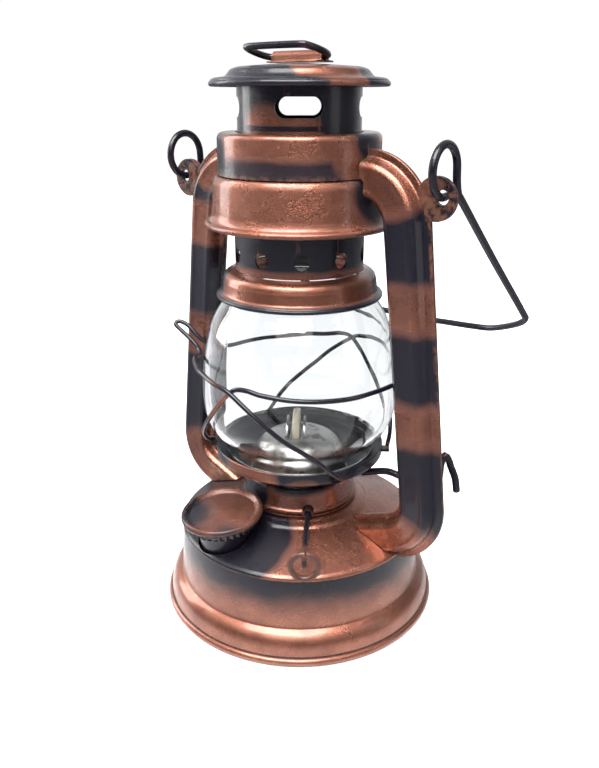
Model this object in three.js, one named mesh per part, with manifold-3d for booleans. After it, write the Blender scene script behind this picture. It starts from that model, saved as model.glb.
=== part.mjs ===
// A hot-blast hurricane lantern with a glass globe, built piece by piece.
// Millimetres, +Z up. Origin: centre of the base's underside. X runs through the two side tubes, -Y is the front.
import * as THREE from "three";
import { mergeVertices } from "three/addons/utils/BufferGeometryUtils.js";
import Module from "manifold-3d";

const wasm = await Module();
wasm.setup();

// ---- Driving dimensions ----
const GAP = 0.3; // clearance kept between pieces that touch
const SHEET = 0.8; // wall of the stamped sheet pieces
const ROUND = 24; // sides of a large round piece
const SMALL_ROUND = 20; // sides of a small one
const WIRE_SIDES = 6;

const BASE_R = 62.5; // rolled bead that the lantern stands on
const TANK_TOP = { r: 53.8, z: 36.6 }; // seam between the tank's wall and its shoulder
const SHOULDER_TOP = { r: 27.3, z: 49.2 };
const TANK_MOUTH_R = 22;
const PAN_Z = 0.4; // the bottom pan stands just clear of the surface inside the rolled bead

const FILLER = { azimuth: -12, r: 43.4, z: 55.2, lean: 6, capR: 17.6, neckR: 12.2 };
const KNOB = { azimuth: 35, side: 5, z: 52.6, wireR: 1.2, reach: 60, ringR: 5.6 };
const WICK = { width: 14, thick: 3.4, side: -1.4, bottom: 12, top: 87.8 };
const WHEEL_R = 4.4;

const CUP = { r: 25.9, z: 50.7, topR: 23, topZ: 62.2 };
const DOME = { r: 20.6, z: 62.5, topZ: 80 };
const PLATE = { r: 37.3, z: 75.9, boreR: 21.2 };
const LUG_ANGLES = [-57, 62, 123, 242];
const GLOBE_FOOT_Z = 73.4;
const GUARD_R = 44.4;
const GUARD_OUTER_R = 46.9; // where one guard wire crosses outside the other
const GUARD_WIRE_R = 1;
const LOOP_FOOT_R = 49.5; // where a guard wire's finger loop starts
const FRONT_LOOP_REACH = 0.55; // the front wire's finger loop is shorter, and stays inside the right tube

const BELL = { r: 34.8, z: 142.4, neckR: 26.7, neckZ: 153.9 };
const PERFORATED = { r: 26.5, topZ: 186.8, holes: 10, holeR: 3, holeZ: 160.6, firstHole: 40 };
const CHIMNEY = { r: 24.3, bottomZ: 187.2, topZ: 229, windowZ: 216.5, windowW: 17.6, windowH: 7.4, firstWindow: 37.5 };
const CANOPY = { r: 34.9, z: 223.7, topZ: 231.9 };
const STRAP = { length: 24, r: 2.3, z: 234.3 };
const LIFT_RING = { wireR: 1.25, depth: 15.6, rise: 13 };

const CHAMBER = { topR: 32.4, topZ: 207.4, stepZ: 191.4, rimR: 38.4, rimZ: 171.5, boreR: 25.2 };
const SPRING = { r: 28, wireR: 0.6, turns: 4 };

const TUBE = { halfWidth: 10, halfDepth: 6.4, bend: 17.5 };
const TUBE_TOP = new THREE.Vector2(48.5, 192.4); // where the centre lines of the top run and the leg cross
const TUBE_FOOT = new THREE.Vector2(65, 50.1); // where those of the leg and the foot cross
const TUBE_ENDS = { topX: 27, footX: 26, footSlope: 21.4 };

const EAR = { x: 61.8, z: 186.3, r: 8, holeX: 64.3, holeZ: 187, holeR: 2.7 };
const BAIL = { pivotZ: 196, ringR: 9, wireR: 1.5, back: 50 };
const LEVER = { pivotX: 60.5, pivotZ: 66.6, y: 9.4, wireR: 1.5, eyeR: 2.9 };

// ---- Finishes ----
const finish = (color, roughness, metalness, extra = {}) =>
  new THREE.MeshStandardMaterial({ color, roughness, metalness, ...extra });
const COPPER = () => finish(0x9c5433, 0.35, 0.8);
const SMOKED_COPPER = () => finish(0x43302d, 0.35, 0.7);
const BLACK_WIRE = () => finish(0x1b1719, 0.3, 0.5);
const STEEL = () => finish(0x9a9a98, 0.4, 0.9);
const CLEAR_GLASS = () => finish(0xeef4f4, 0.03, 0, { transparent: true, opacity: 0.25 });
const COTTON = () => finish(0xe8dfc4, 0.95, 0);
const CORK = () => finish(0x6b4a32, 0.9, 0);

// ---- Solids and placing ----
const radians = THREE.MathUtils.degToRad;

// A geometry as a closed solid whose faces point out.
function solid(geometry) {
  const loose = geometry.index ? geometry.toNonIndexed() : geometry;
  loose.deleteAttribute("normal");
  loose.deleteAttribute("uv");
  const merged = mergeVertices(loose, 1e-4);
  const index = merged.index.array;
  const corners = [];
  for (let i = 0; i < index.length; i += 3) {
    const [a, b, c] = index.slice(i, i + 3);
    if (a !== b && b !== c && c !== a) corners.push([a, b, c]);
  }
  const build = (triangles) =>
    new wasm.Manifold(
      new wasm.Mesh({
        numProp: 3,
        vertProperties: merged.attributes.position.array,
        triVerts: new Uint32Array(triangles.flat()),
      }),
    );
  const made = build(corners);
  return made.volume() > 0 ? made : build(corners.map(([a, b, c]) => [a, c, b]));
}

function geometryOf(made) {
  const { vertProperties, triVerts } = made.getMesh();
  return new THREE.BufferGeometry()
    .setAttribute("position", new THREE.BufferAttribute(vertProperties, 3))
    .setIndex(new THREE.BufferAttribute(triVerts, 1));
}

const lantern = new THREE.Group();

function piece(name, made, material, parent = lantern) {
  const geometry = geometryOf(made);
  geometry.computeVertexNormals();
  const mesh = new THREE.Mesh(geometry, material);
  mesh.name = name;
  parent.add(mesh);
}

const joined = (...solids) => solids.reduce((a, b) => a.add(b));
const cut = (body, ...tools) => tools.reduce((a, b) => a.subtract(b), body);

// A point at an azimuth measured from the front (-Y) towards the right tube (+X).
const around = (azimuth, r, z) =>
  new THREE.Vector3(r * Math.sin(radians(azimuth)), -r * Math.cos(radians(azimuth)), z);

// ---- Outlines: lists of [radius, height] ----
// Points on an ellipse from one angle to another, in degrees.
function arc(r, z, radiusR, radiusZ, from, to, steps) {
  const points = [];
  for (let i = 0; i <= steps; i++) {
    const angle = radians(from + ((to - from) * i) / steps);
    points.push([r + radiusR * Math.cos(angle), z + radiusZ * Math.sin(angle)]);
  }
  return points;
}

// A closed outline for sheet metal: the line, and the same line moved to its left by the sheet's thickness.
function walled(line, thickness = SHEET) {
  const normals = line.slice(1).map(([r, z], i) => {
    const run = new THREE.Vector2(r - line[i][0], z - line[i][1]).normalize();
    return new THREE.Vector2(-run.y, run.x);
  });
  const inner = line.map(([r, z], i) => {
    const before = normals[Math.max(i - 1, 0)];
    const after = normals[Math.min(i, normals.length - 1)];
    const mitre = before.clone().add(after).normalize();
    const reach = thickness / mitre.dot(after);
    return [Math.max(r + mitre.x * reach, 0), z + mitre.y * reach];
  });
  return closed([...line, ...inner.reverse()]);
}

// An outline that starts and ends on the axis is closed there, any other one returns to its start.
function closed(outline) {
  const [first] = outline;
  const last = outline[outline.length - 1];
  return first[0] === 0 && last[0] === 0 ? outline : [...outline, first];
}

function turned(outline, sides = ROUND) {
  const points = outline.map(([r, z]) => new THREE.Vector2(r, z));
  return solid(new THREE.LatheGeometry(points, sides).rotateX(Math.PI / 2));
}

const ring = (inner, outer, low, high, sides = ROUND) =>
  turned(closed([[inner, low], [outer, low], [outer, high], [inner, high]]), sides);

// ---- Bars and wires ----
const box = (w, d, h, x, y, z) => solid(new THREE.BoxGeometry(w, d, h).translate(x, y, z));

// A round bar between two points.
function bar(from, to, r, sides = 12) {
  const run = to.clone().sub(from);
  const turn = new THREE.Quaternion().setFromUnitVectors(new THREE.Vector3(0, 1, 0), run.clone().normalize());
  const middle = from.clone().lerp(to, 0.5);
  const geometry = new THREE.CylinderGeometry(r, r, run.length(), sides);
  return solid(geometry.applyQuaternion(turn).translate(middle.x, middle.y, middle.z));
}

// A curve that an extrusion follows with one step for each of its stations.
class Route extends THREE.Curve {
  constructor(stations) {
    super();
    this.stations = stations;
  }
  getPoint(t) {
    const at = t * (this.stations.length - 1);
    const i = Math.min(Math.floor(at), this.stations.length - 2);
    return this.stations[i].clone().lerp(this.stations[i + 1], at - i);
  }
  getPointAt(u) {
    return this.getPoint(u);
  }
  getTangentAt(u) {
    const i = Math.round(u * (this.stations.length - 1));
    const before = this.stations[Math.max(i - 1, 0)];
    const here = this.stations[i];
    const after = this.stations[Math.min(i + 1, this.stations.length - 1)];
    const arriving = here.clone().sub(before).normalize();
    const leaving = after.clone().sub(here).normalize();
    return arriving.add(leaving).normalize();
  }
}

function swept(section, stations) {
  const extrudePath = new Route(stations);
  return solid(new THREE.ExtrudeGeometry(section, { steps: stations.length - 1, extrudePath }));
}

function roundSection(r, sides = WIRE_SIDES) {
  const corners = arc(0, 0, r, r, 0, 360 - 360 / sides, sides - 1);
  return new THREE.Shape(corners.map(([x, y]) => new THREE.Vector2(x, y)));
}

const wire = (r, stations, sides) => swept(roundSection(r, sides), stations);

// A smooth line through a few points, sampled into evenly spaced stations.
const smooth = (points, steps, tension = 0.5) =>
  new THREE.CatmullRomCurve3(points, false, "catmullrom", tension).getSpacedPoints(steps);

const extruded = (shape, depth) =>
  new THREE.ExtrudeGeometry(shape, { depth, bevelEnabled: false, curveSegments: 6 });

// ---- Fuel tank ----
function skirtLine() {
  const bead = arc(BASE_R - 1.9, 1.9, 1.9, 1.9, -90, 90, 4);
  const flare = new THREE.QuadraticBezierCurve(
    new THREE.Vector2(BASE_R - 1.7, 4),
    new THREE.Vector2(BASE_R - 1.9, 11.5),
    new THREE.Vector2(56.2, 13.8),
  );
  const bulge = flare.getPoints(5).map((p) => [p.x, p.y]);
  return [[BASE_R - 4.5, 0], ...bead, ...bulge, [55.5, 14.8], [TANK_TOP.r, TANK_TOP.z - GAP]];
}

const SHOULDER_LINE = [
  [TANK_TOP.r + 0.5, TANK_TOP.z],
  [TANK_TOP.r + 0.5, TANK_TOP.z + 1],
  [TANK_TOP.r - 0.6, TANK_TOP.z + 2],
  [31, 46.6],
  [30, 47.6],
  [SHOULDER_TOP.r + 0.4, SHOULDER_TOP.z - 0.6],
  [SHOULDER_TOP.r - 0.4, SHOULDER_TOP.z],
  [TANK_MOUTH_R, SHOULDER_TOP.z],
];

const fillerTurn = () => {
  const out = around(FILLER.azimuth, 1, 0);
  const hinge = new THREE.Vector3(-out.y, out.x, 0); // leaning outwards turns about this line
  return new THREE.Matrix4()
    .makeTranslation(...around(FILLER.azimuth, FILLER.r, FILLER.z))
    .multiply(new THREE.Matrix4().makeRotationAxis(hinge, radians(FILLER.lean)));
};

// A turned shape whose axis is the filler's and whose heights are measured from the cap's rim.
const onFiller = (outline) => {
  const made = turned(outline, SMALL_ROUND);
  return solid(geometryOf(made).applyMatrix4(fillerTurn()));
};

function addTank() {
  piece("fount_body", turned(walled(skirtLine())), COPPER());
  const panR = BASE_R - 4.5 - GAP;
  const pan = [[0, PAN_Z], [panR, PAN_Z], [panR, PAN_Z + SHEET], [0, PAN_Z + SHEET]];
  piece("fount_bottom", turned(pan), COPPER());
  const mouth = onFiller([[0, -24], [FILLER.neckR - 0.6, -24], [FILLER.neckR + 0.5, -3.6], [0, -3.6]]);
  piece("fount_shoulder", cut(turned(walled(SHOULDER_LINE)), mouth), SMOKED_COPPER());
}

// ---- Filler neck and screw cap ----
function addFiller() {
  const { capR, neckR } = FILLER;
  const neckLine = [[neckR - 1.6, -19], [neckR, -3.6]];
  piece("filler_neck", onFiller(walled(neckLine, 1)), SMOKED_COPPER());
  const seal = closed([[6, -3.3], [neckR + 0.4, -3.3], [neckR + 0.4, -2.3], [6, -2.3]]);
  piece("cap_seal", onFiller(seal), CORK());
  const capLine = [
    [neckR + 0.9, -6.2],
    [neckR + 3, -6.2],
    [neckR + 3.3, -3.4],
    [capR - 0.6, -3],
    [capR, -1.6],
    [capR - 0.5, -0.3],
    [capR - 1.3, 0],
    [capR - 2.2, -0.5],
    [capR - 2.8, -1.1],
    [0, -0.8],
    [0, -2],
    [neckR + 0.9, -2],
  ];
  piece("filler_cap", onFiller([...capLine, capLine[0]]), COPPER());
}

// ---- Burner ----
// The burner's own frame: its x axis is the knob's shaft direction, its z axis the lantern's.
const burnerTurn = radians(KNOB.azimuth - 90);
const inBurner = (made) => solid(geometryOf(made).rotateZ(burnerTurn));

function addBurnerBody() {
  const thread = closed([
    [20.2, 43],
    [TANK_MOUTH_R - GAP - 0.1, 43],
    [TANK_MOUTH_R - GAP - 0.1, SHOULDER_TOP.z + GAP],
    [25.6, SHOULDER_TOP.z + GAP],
    [25.6, 50.3],
    [20.2, 50.3],
  ]);
  piece("burner_collar", turned(thread), COPPER());
  const plate = cut(turned([[0, 46.2], [19.8, 46.2], [19.8, 47], [0, 47]]), inBurner(wickHole(17.8, 6.4)));
  piece("burner_plate", plate, STEEL());
  const cupLine = [
    [CUP.r, CUP.z],
    [CUP.r, CUP.z + 0.7],
    [CUP.r - 0.9, CUP.z + 1.5],
    [CUP.topR + 1.2, CUP.topZ - 1.2],
    [CUP.topR, CUP.topZ],
    [9.9, CUP.topZ],
  ];
  const keyhole = bar(
    new THREE.Vector3(18, KNOB.side, KNOB.z),
    new THREE.Vector3(30, KNOB.side, KNOB.z),
    2.45,
  );
  piece("burner_cup", cut(turned(walled(cupLine)), inBurner(keyhole)), COPPER());
}

const wickHole = (width, depth) => box(width, depth, 60, 0, WICK.side, 60);

function addBurnerInside() {
  const wall = [[DOME.r, DOME.z], [DOME.r, DOME.z + 3.5], [DOME.r - 1.2, DOME.z + 10]];
  const domeLine = [...wall, ...arc(0, 72.5, 18.6, DOME.topZ - 72.5, 25, 90, 3)];
  const dome = cut(turned(walled(domeLine, 0.6), SMALL_ROUND), inBurner(box(17.4, 6.6, 20, 0, WICK.side, 80)));
  const lips = [-1, 1].map((side) => {
    const half = extruded(new THREE.Shape().absarc(0, 0, 8, 0, Math.PI), 0.8).rotateX(Math.PI / 2);
    return inBurner(solid(half.translate(0, WICK.side + side * 3.8 + 0.4, 78.2)));
  });
  piece("burner_dome", joined(dome, ...lips), STEEL());
  const outer = box(17, 5.6, 39, 0, WICK.side, 58.5);
  const inner = box(15.4, 4.2, 50, 0, WICK.side, 58.5);
  const windows = [-1, 1].map((side) => box(2.2, 3, 7, side * 4.5, WICK.side + 3, KNOB.z));
  piece("wick_tube", inBurner(cut(outer, inner, ...windows)), STEEL());
  const { width, thick, side, bottom, top } = WICK;
  piece("wick", inBurner(box(width, thick, top - bottom, 0, side, (top + bottom) / 2)), COTTON());
}

function addWickDrive() {
  const { side, z, wireR, reach, ringR } = KNOB;
  const at = (x, y, dz) => new THREE.Vector3(x, side + y, z + dz);
  const sleeve = cut(bar(at(21.2, 0, 0), at(28, 0, 0), 2.1), bar(at(20, 0, 0), at(30, 0, 0), 1.55));
  piece("knob_sleeve", inBurner(sleeve), SMOKED_COPPER());
  const drop = wireR - 0.2 - ringR; // the finger ring hangs below its shaft
  const loop = arc(0, drop, ringR, ringR, 90, 90 + 350, 16).map(([y, dz]) => at(reach, y, dz));
  const tongue = bar(at(reach, 0, 0.6), at(reach, 0, drop), wireR * 0.8, 6);
  const shaft = bar(at(-8, 0, 0), at(reach + 0.6, 0, 0), wireR, WIRE_SIDES);
  piece("wick_knob", inBurner(joined(shaft, wire(wireR, loop), tongue)), BLACK_WIRE());
  for (const [index, x] of [-4.5, 4.5].entries()) {
    const star = new THREE.Shape(
      arc(0, 0, 1, 1, 0, 351, 39).map(([cx, cy], i) => {
        const r = WHEEL_R - (i % 4 < 2 ? 0 : 0.8);
        return new THREE.Vector2(cx * r, cy * r);
      }),
    );
    star.holes.push(new THREE.Path().absarc(0, 0, wireR + GAP, 0, 2 * Math.PI));
    const wheel = extruded(star, 0.8).rotateY(Math.PI / 2).translate(x - 0.4, side, z);
    piece("wick_wheel_" + (index + 1), inBurner(solid(wheel)), STEEL());
  }
}

// ---- Globe carriage: plate, globe and guard wires ----
function addGlobePlate() {
  const outline = closed([
    [PLATE.boreR, 64.4],
    [24.8, 64.4],
    [35.8, 70.2],
    [PLATE.r, 71.3],
    [PLATE.r, PLATE.z],
    [PLATE.r - 0.9, PLATE.z],
    [PLATE.r - 0.9, GLOBE_FOOT_Z - GAP],
    [30.2, GLOBE_FOOT_Z - GAP],
    [30.2, 69],
    [24.2, 65.8],
    [PLATE.boreR, 65.8],
  ]);
  const lugs = LUG_ANGLES.map((azimuth) => {
    const lug = new THREE.BoxGeometry(4.4, 4, 1.2).translate(0, -PLATE.r - 1.2, 71.9);
    return solid(lug.rotateZ(radians(azimuth)));
  });
  piece("globe_plate", joined(turned(outline), ...lugs), SMOKED_COPPER());
}

const GLOBE_LINE = [
  [33.2, GLOBE_FOOT_Z],
  [33.2, 77],
  [38, 82.2],
  [41.8, 92],
  [42.4, 103],
  [41.1, 117],
  [37.4, 132.5],
  [31.5, 142],
  [30.3, 148],
];

// A guard wire rises from one lug, runs across the front of the globe, makes a finger loop at the side,
// and comes down across the back to the next lug. The other wire is the same one turned half round.
const GUARD_ROUTE = [
  [-57, 39.6, 73.9],
  [-47, 41.4, 77.5],
  [-37, 43, 84],
  [-22, 44.2, 93.6],
  [-9.5, GUARD_R, 103.8],
  [-2, GUARD_R, 109.8],
  [3.8, GUARD_R, 113.1],
  [11, GUARD_R, 113.7],
  [19, GUARD_R, 112.7],
  [34.6, GUARD_R, 111.5],
  [50, GUARD_R, 110.9],
  [66, GUARD_R, 110.6],
  [83, GUARD_R, 110.6],
  [92, 46, 111.2],
  [97.5, 49.5, 112.4],
  [99.6, 54, 116],
  [99.6, 59, 120.3],
  [100.3, 63.2, 121.9],
  [101.8, 64.6, 121],
  [102.8, 61.5, 119.2],
  [104, 56, 116.2],
  [105.5, 51, 112.9],
  [109, 47.6, 111.4],
  [116, 45.7, 111.8],
  [128, 45.5, 113.4],
  [150, 45.6, 115.2],
  [161, 46, 114.9],
  [172, GUARD_OUTER_R, 114],
  [181.2, GUARD_OUTER_R, 112.6],
  [189.5, GUARD_OUTER_R, 108.5],
  [198, GUARD_OUTER_R, 103.3],
  [209.7, 45.8, 95.2],
  [225, 43.2, 86],
  [236, 40.8, 78],
  [242, 39.6, 73.9],
];

function addCarriage() {
  addGlobePlate();
  piece("globe", turned(walled(GLOBE_LINE, 1.8)), CLEAR_GLASS());
  for (const [name, turn, reach] of [["guard_wire_front", 0, FRONT_LOOP_REACH], ["guard_wire_rear", 180, 1]]) {
    const bent = (r) => (r > LOOP_FOOT_R ? LOOP_FOOT_R + (r - LOOP_FOOT_R) * reach : r);
    const route = GUARD_ROUTE.map(([azimuth, r, z]) => around(azimuth + turn, bent(r), z));
    piece(name, wire(GUARD_WIRE_R, smooth(route, 60)), BLACK_WIRE());
  }
}

// ---- Lift lever ----
function addLever() {
  const { pivotX, pivotZ, y, wireR, eyeR } = LEVER;
  const at = (x, ay, z) => new THREE.Vector3(x, ay, z);
  const arm = smooth(
    [at(30.5, 6, 65.4), at(36, 8.3, 66.8), at(42, y, 68), at(50, y, 67.4), at(pivotX - eyeR, y, pivotZ + 0.4)],
    9,
  );
  const tail = smooth(
    [
      at(pivotX + eyeR, y, pivotZ),
      at(65.8, y, 72),
      at(66, y + 0.6, 79),
      at(66.7, y + 2, 82.6),
      at(67.7, y + 3.6, 80.4),
      at(68.8, y + 4.2, 77),
      at(71, y + 4.3, 72.4),
      at(72, y + 4.4, 67),
    ],
    18,
  );
  const eye = new THREE.TorusGeometry(eyeR, wireR, WIRE_SIDES, 13).rotateX(Math.PI / 2);
  const eyeRing = solid(eye.translate(pivotX, y, pivotZ));
  piece("lift_lever", joined(wire(wireR, arm), wire(wireR, tail), eyeRing), BLACK_WIRE());
  const pinBase = TUBE.halfDepth + GAP;
  const foot = box(7, 0.9, 8, pivotX, pinBase + 0.45, pivotZ);
  const pin = bar(at(pivotX, pinBase, pivotZ), at(pivotX, y + 2.4, pivotZ), 1.1);
  const head = bar(at(pivotX, y + 2, pivotZ), at(pivotX, y + 2.9, pivotZ), 2.4);
  piece("lever_pin", joined(foot, pin, head), SMOKED_COPPER());
}

// ---- Side tubes, each a front and a rear stamping ----
// The centre line from the air chamber out, down the leg and back in to the tank, in the X-Z plane.
function tubeStations() {
  const topStart = new THREE.Vector2(TUBE_ENDS.topX, TUBE_TOP.y);
  const slope = Math.tan(radians(TUBE_ENDS.footSlope));
  const footEnd = new THREE.Vector2(TUBE_ENDS.footX, TUBE_FOOT.y - slope * (TUBE_FOOT.x - TUBE_ENDS.footX));
  const line = [topStart, TUBE_TOP, TUBE_FOOT, footEnd];
  const stations = [topStart, ...bend(line[0], line[1], line[2]), ...bend(line[1], line[2], line[3]), footEnd];
  return stations.map((p) => new THREE.Vector3(p.x, 0, p.y));
}

// The round corner at b between the lines from a and to c.
function bend(a, b, c, steps = 5) {
  const back = a.clone().sub(b).normalize();
  const on = c.clone().sub(b).normalize();
  const half = Math.acos(back.dot(on)) / 2;
  const centre = back.clone().add(on).normalize().multiplyScalar(TUBE.bend / Math.sin(half)).add(b);
  const start = back.multiplyScalar(TUBE.bend / Math.tan(half)).add(b).sub(centre);
  const turn = Math.PI - 2 * half;
  const sense = -Math.sign(start.cross(on));
  return Array.from({ length: steps + 1 }, (_, i) => {
    const p = start.clone().rotateAround(new THREE.Vector2(), (-sense * turn * i) / steps);
    return p.add(centre);
  });
}

// Half of the tube's section, from the outer flange over the face to the inner flange and back inside.
function tubeSection(side) {
  const w = TUBE.halfWidth;
  const d = TUBE.halfDepth;
  const half = GAP / 2;
  const outline = [
    [w, half],
    [w, 1],
    [w - 3, 1],
    [w - 4.4, d - 1.2],
    [w - 6.6, d],
    [4 - w, d],
    [2.6 - w, d - 2],
    [1.9 - w, 1],
    [-w, 1],
    [-w, half],
    [3 - w, half],
    [4.2 - w, d - 1.4],
    [w - 6.8, d - 0.9],
    [w - 4.2, half],
  ];
  return new THREE.Shape(outline.map(([out, depth]) => new THREE.Vector2(-out, side * depth)));
}

function ear(side) {
  const shape = new THREE.Shape().absarc(EAR.x, EAR.z, EAR.r, 0, 2 * Math.PI);
  shape.holes.push(new THREE.Path().absarc(EAR.holeX, EAR.holeZ, EAR.holeR, 0, 2 * Math.PI));
  const plate = new THREE.ExtrudeGeometry(shape, { depth: 0.85, bevelEnabled: false, curveSegments: 10 });
  plate.rotateX(Math.PI / 2); // its thickness now runs from y = -0.85 to 0
  return solid(plate.translate(0, side > 0 ? 1 : -GAP / 2, 0));
}

function addTubes() {
  const wallSpace = skirtLine().map(([r, z]) => [r + GAP, z]);
  const shoulderSpace = SHOULDER_LINE.map(([r, z]) => [r + GAP, z + GAP]);
  const tankSpace = turned([[0, 0], ...wallSpace, ...shoulderSpace, [0, SHOULDER_TOP.z + GAP]]);
  const chamberSpace = turned([
    [0, 168],
    [CHAMBER.rimR + GAP, CHAMBER.rimZ],
    [35.7, 176],
    [34.9, CHAMBER.stepZ],
    [33.1, CHAMBER.stepZ + GAP],
    [CHAMBER.topR + GAP, CHAMBER.topZ],
    [0, CHAMBER.topZ],
  ]);
  const stations = tubeStations();
  for (const [sideName, turn] of [["right", 0], ["left", Math.PI]]) {
    for (const half of [-1, 1]) {
      const leg = joined(swept(tubeSection(half), stations), ear(half));
      const made = cut(leg, tankSpace, chamberSpace, punch(EAR.holeX, EAR.holeZ, EAR.holeR));
      const faces = half * (turn ? -1 : 1) < 0 ? "front" : "rear";
      const placed = solid(geometryOf(made).rotateZ(turn));
      piece(sideName + "_tube_" + faces, placed, SMOKED_COPPER());
    }
  }
}

// A drill along Y.
const punch = (x, z, r) => bar(new THREE.Vector3(x, -30, z), new THREE.Vector3(x, 30, z), r, 16);

// ---- Air chamber ----
function addChamber() {
  const port = bar(new THREE.Vector3(-60, 0, TUBE_TOP.y), new THREE.Vector3(60, 0, TUBE_TOP.y), 5);
  const upperLine = [
    [32.8, CHAMBER.stepZ + GAP],
    [CHAMBER.topR, CHAMBER.topZ - 1.8],
    [CHAMBER.topR - 0.8, CHAMBER.topZ - 0.4],
    [CHAMBER.topR - 2, CHAMBER.topZ],
    [CHAMBER.boreR, CHAMBER.topZ],
  ];
  piece("air_chamber_upper", cut(turned(walled(upperLine)), port), SMOKED_COPPER());
  const lowerLine = [
    [CHAMBER.rimR - 0.9, CHAMBER.rimZ],
    [CHAMBER.rimR, CHAMBER.rimZ + 0.5],
    [CHAMBER.rimR - 0.3, CHAMBER.rimZ + 1.4],
    [36, 174.2],
    [35.4, 176],
    [34.6, 189.4],
    [33.8, CHAMBER.stepZ - 0.4],
    [31.6, CHAMBER.stepZ],
  ];
  piece("air_chamber_lower", cut(turned(walled(lowerLine)), port), COPPER());
  piece("air_chamber_floor", ring(27.4, 34.2, 175.6, 176.4), SMOKED_COPPER());
}

// ---- Hood: bell, perforated collar, chimney, canopy ----
function addHood() {
  const bellLine = [
    [BELL.r - 0.9, BELL.z],
    [BELL.r, BELL.z + 0.6],
    [BELL.r - 0.6, BELL.z + 2.2],
    [32.4, 145.4],
    [32, 148.8],
    ...arc(28, 149.6, 3.6, 3.9, 20, 80, 3),
    [BELL.neckR, BELL.neckZ],
  ];
  piece("bell", turned(walled(bellLine)), COPPER());
  const drills = Array.from({ length: PERFORATED.holes }, (_, i) => {
    const azimuth = PERFORATED.firstHole + (360 / PERFORATED.holes) * i;
    return bar(around(azimuth, 20, PERFORATED.holeZ), around(azimuth, 30, PERFORATED.holeZ), PERFORATED.holeR, 8);
  });
  const band = ring(PERFORATED.r - SHEET, PERFORATED.r, BELL.neckZ + GAP, PERFORATED.topZ);
  piece("perforated_collar", cut(band, ...drills), SMOKED_COPPER());
  addChimney();
  const canopyLine = [
    [CANOPY.r - 0.8, CANOPY.z],
    [CANOPY.r, CANOPY.z + 1],
    [CANOPY.r - 0.3, CANOPY.z + 2.2],
    [CANOPY.r - 1.6, CANOPY.z + 2.9],
    [28.6, 227.3],
    [27.6, 228.4],
    [26.6, 229.7],
    [24.4, 230.6],
    [14, CANOPY.topZ - 0.5],
    [0, CANOPY.topZ],
  ];
  piece("canopy", turned(walled(canopyLine)), SMOKED_COPPER());
}

function addChimney() {
  const { r, bottomZ, topZ, windowZ, windowW, windowH } = CHIMNEY;
  const outline = closed([
    [r - SHEET, bottomZ],
    [31, bottomZ],
    [31, bottomZ + SHEET],
    [r, bottomZ + SHEET],
    [r, topZ],
    [r - SHEET, topZ],
  ]);
  const straight = (windowW - windowH) / 2;
  const stadium = new THREE.Shape()
    .absarc(straight, 0, windowH / 2, -Math.PI / 2, Math.PI / 2)
    .absarc(-straight, 0, windowH / 2, Math.PI / 2, 1.5 * Math.PI);
  const windows = [0, 90, 180, 270].map((quarter) => {
    const slot = extruded(stadium, 20).rotateX(Math.PI / 2).translate(0, -14, windowZ);
    return solid(slot.rotateZ(radians(CHIMNEY.firstWindow + quarter)));
  });
  piece("chimney", cut(turned(outline), ...windows), SMOKED_COPPER());
}

function addSpring() {
  const low = CHIMNEY.bottomZ + SHEET + SPRING.wireR + GAP;
  const high = CHAMBER.topZ - SHEET - SPRING.wireR - GAP;
  const steps = SPRING.turns * 11;
  const helix = Array.from({ length: steps + 1 }, (_, i) =>
    around((360 * SPRING.turns * i) / steps, SPRING.r, low + ((high - low) * i) / steps),
  );
  piece("hood_spring", wire(SPRING.wireR, helix, 5), STEEL());
}

function addLiftRing() {
  const { length, r, z } = STRAP;
  const shape = new THREE.Shape()
    .moveTo(-5.5, CANOPY.topZ + GAP)
    .lineTo(5.5, CANOPY.topZ + GAP)
    .lineTo(5.5, CANOPY.topZ + GAP + 0.6)
    .lineTo(r, CANOPY.topZ + GAP + 0.8)
    .absarc(0, z, r, 0, Math.PI)
    .lineTo(-r, CANOPY.topZ + GAP + 0.8)
    .lineTo(-5.5, CANOPY.topZ + GAP + 0.6);
  shape.holes.push(new THREE.Path().absarc(0, z, LIFT_RING.wireR + 0.45, 0, 2 * Math.PI));
  const strap = extruded(shape, length).rotateX(Math.PI / 2).rotateZ(Math.PI / 2);
  piece("ring_strap", solid(strap.translate(-length / 2, 0, 0)), COPPER());
  const reach = new THREE.Vector2(-LIFT_RING.depth, 0).rotateAround(new THREE.Vector2(), -radians(LIFT_RING.rise));
  const at = (x, share) => new THREE.Vector3(x, reach.x * share, z + reach.y * share);
  const half = length / 2;
  const loop = [
    at(half - 6, 0),
    at(half, 0),
    at(half + 2.6, 0.12),
    at(half + 3.6, 0.45),
    at(half + 2.6, 0.85),
    at(half - 1, 1),
    at(1 - half, 1),
    at(-half - 2.6, 0.85),
    at(-half - 3.6, 0.45),
    at(-half - 2.6, 0.12),
    at(-half, 0),
    at(6 - half, 0),
  ];
  piece("lift_ring", wire(LIFT_RING.wireR, smooth(loop, 30)), BLACK_WIRE());
}

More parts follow.
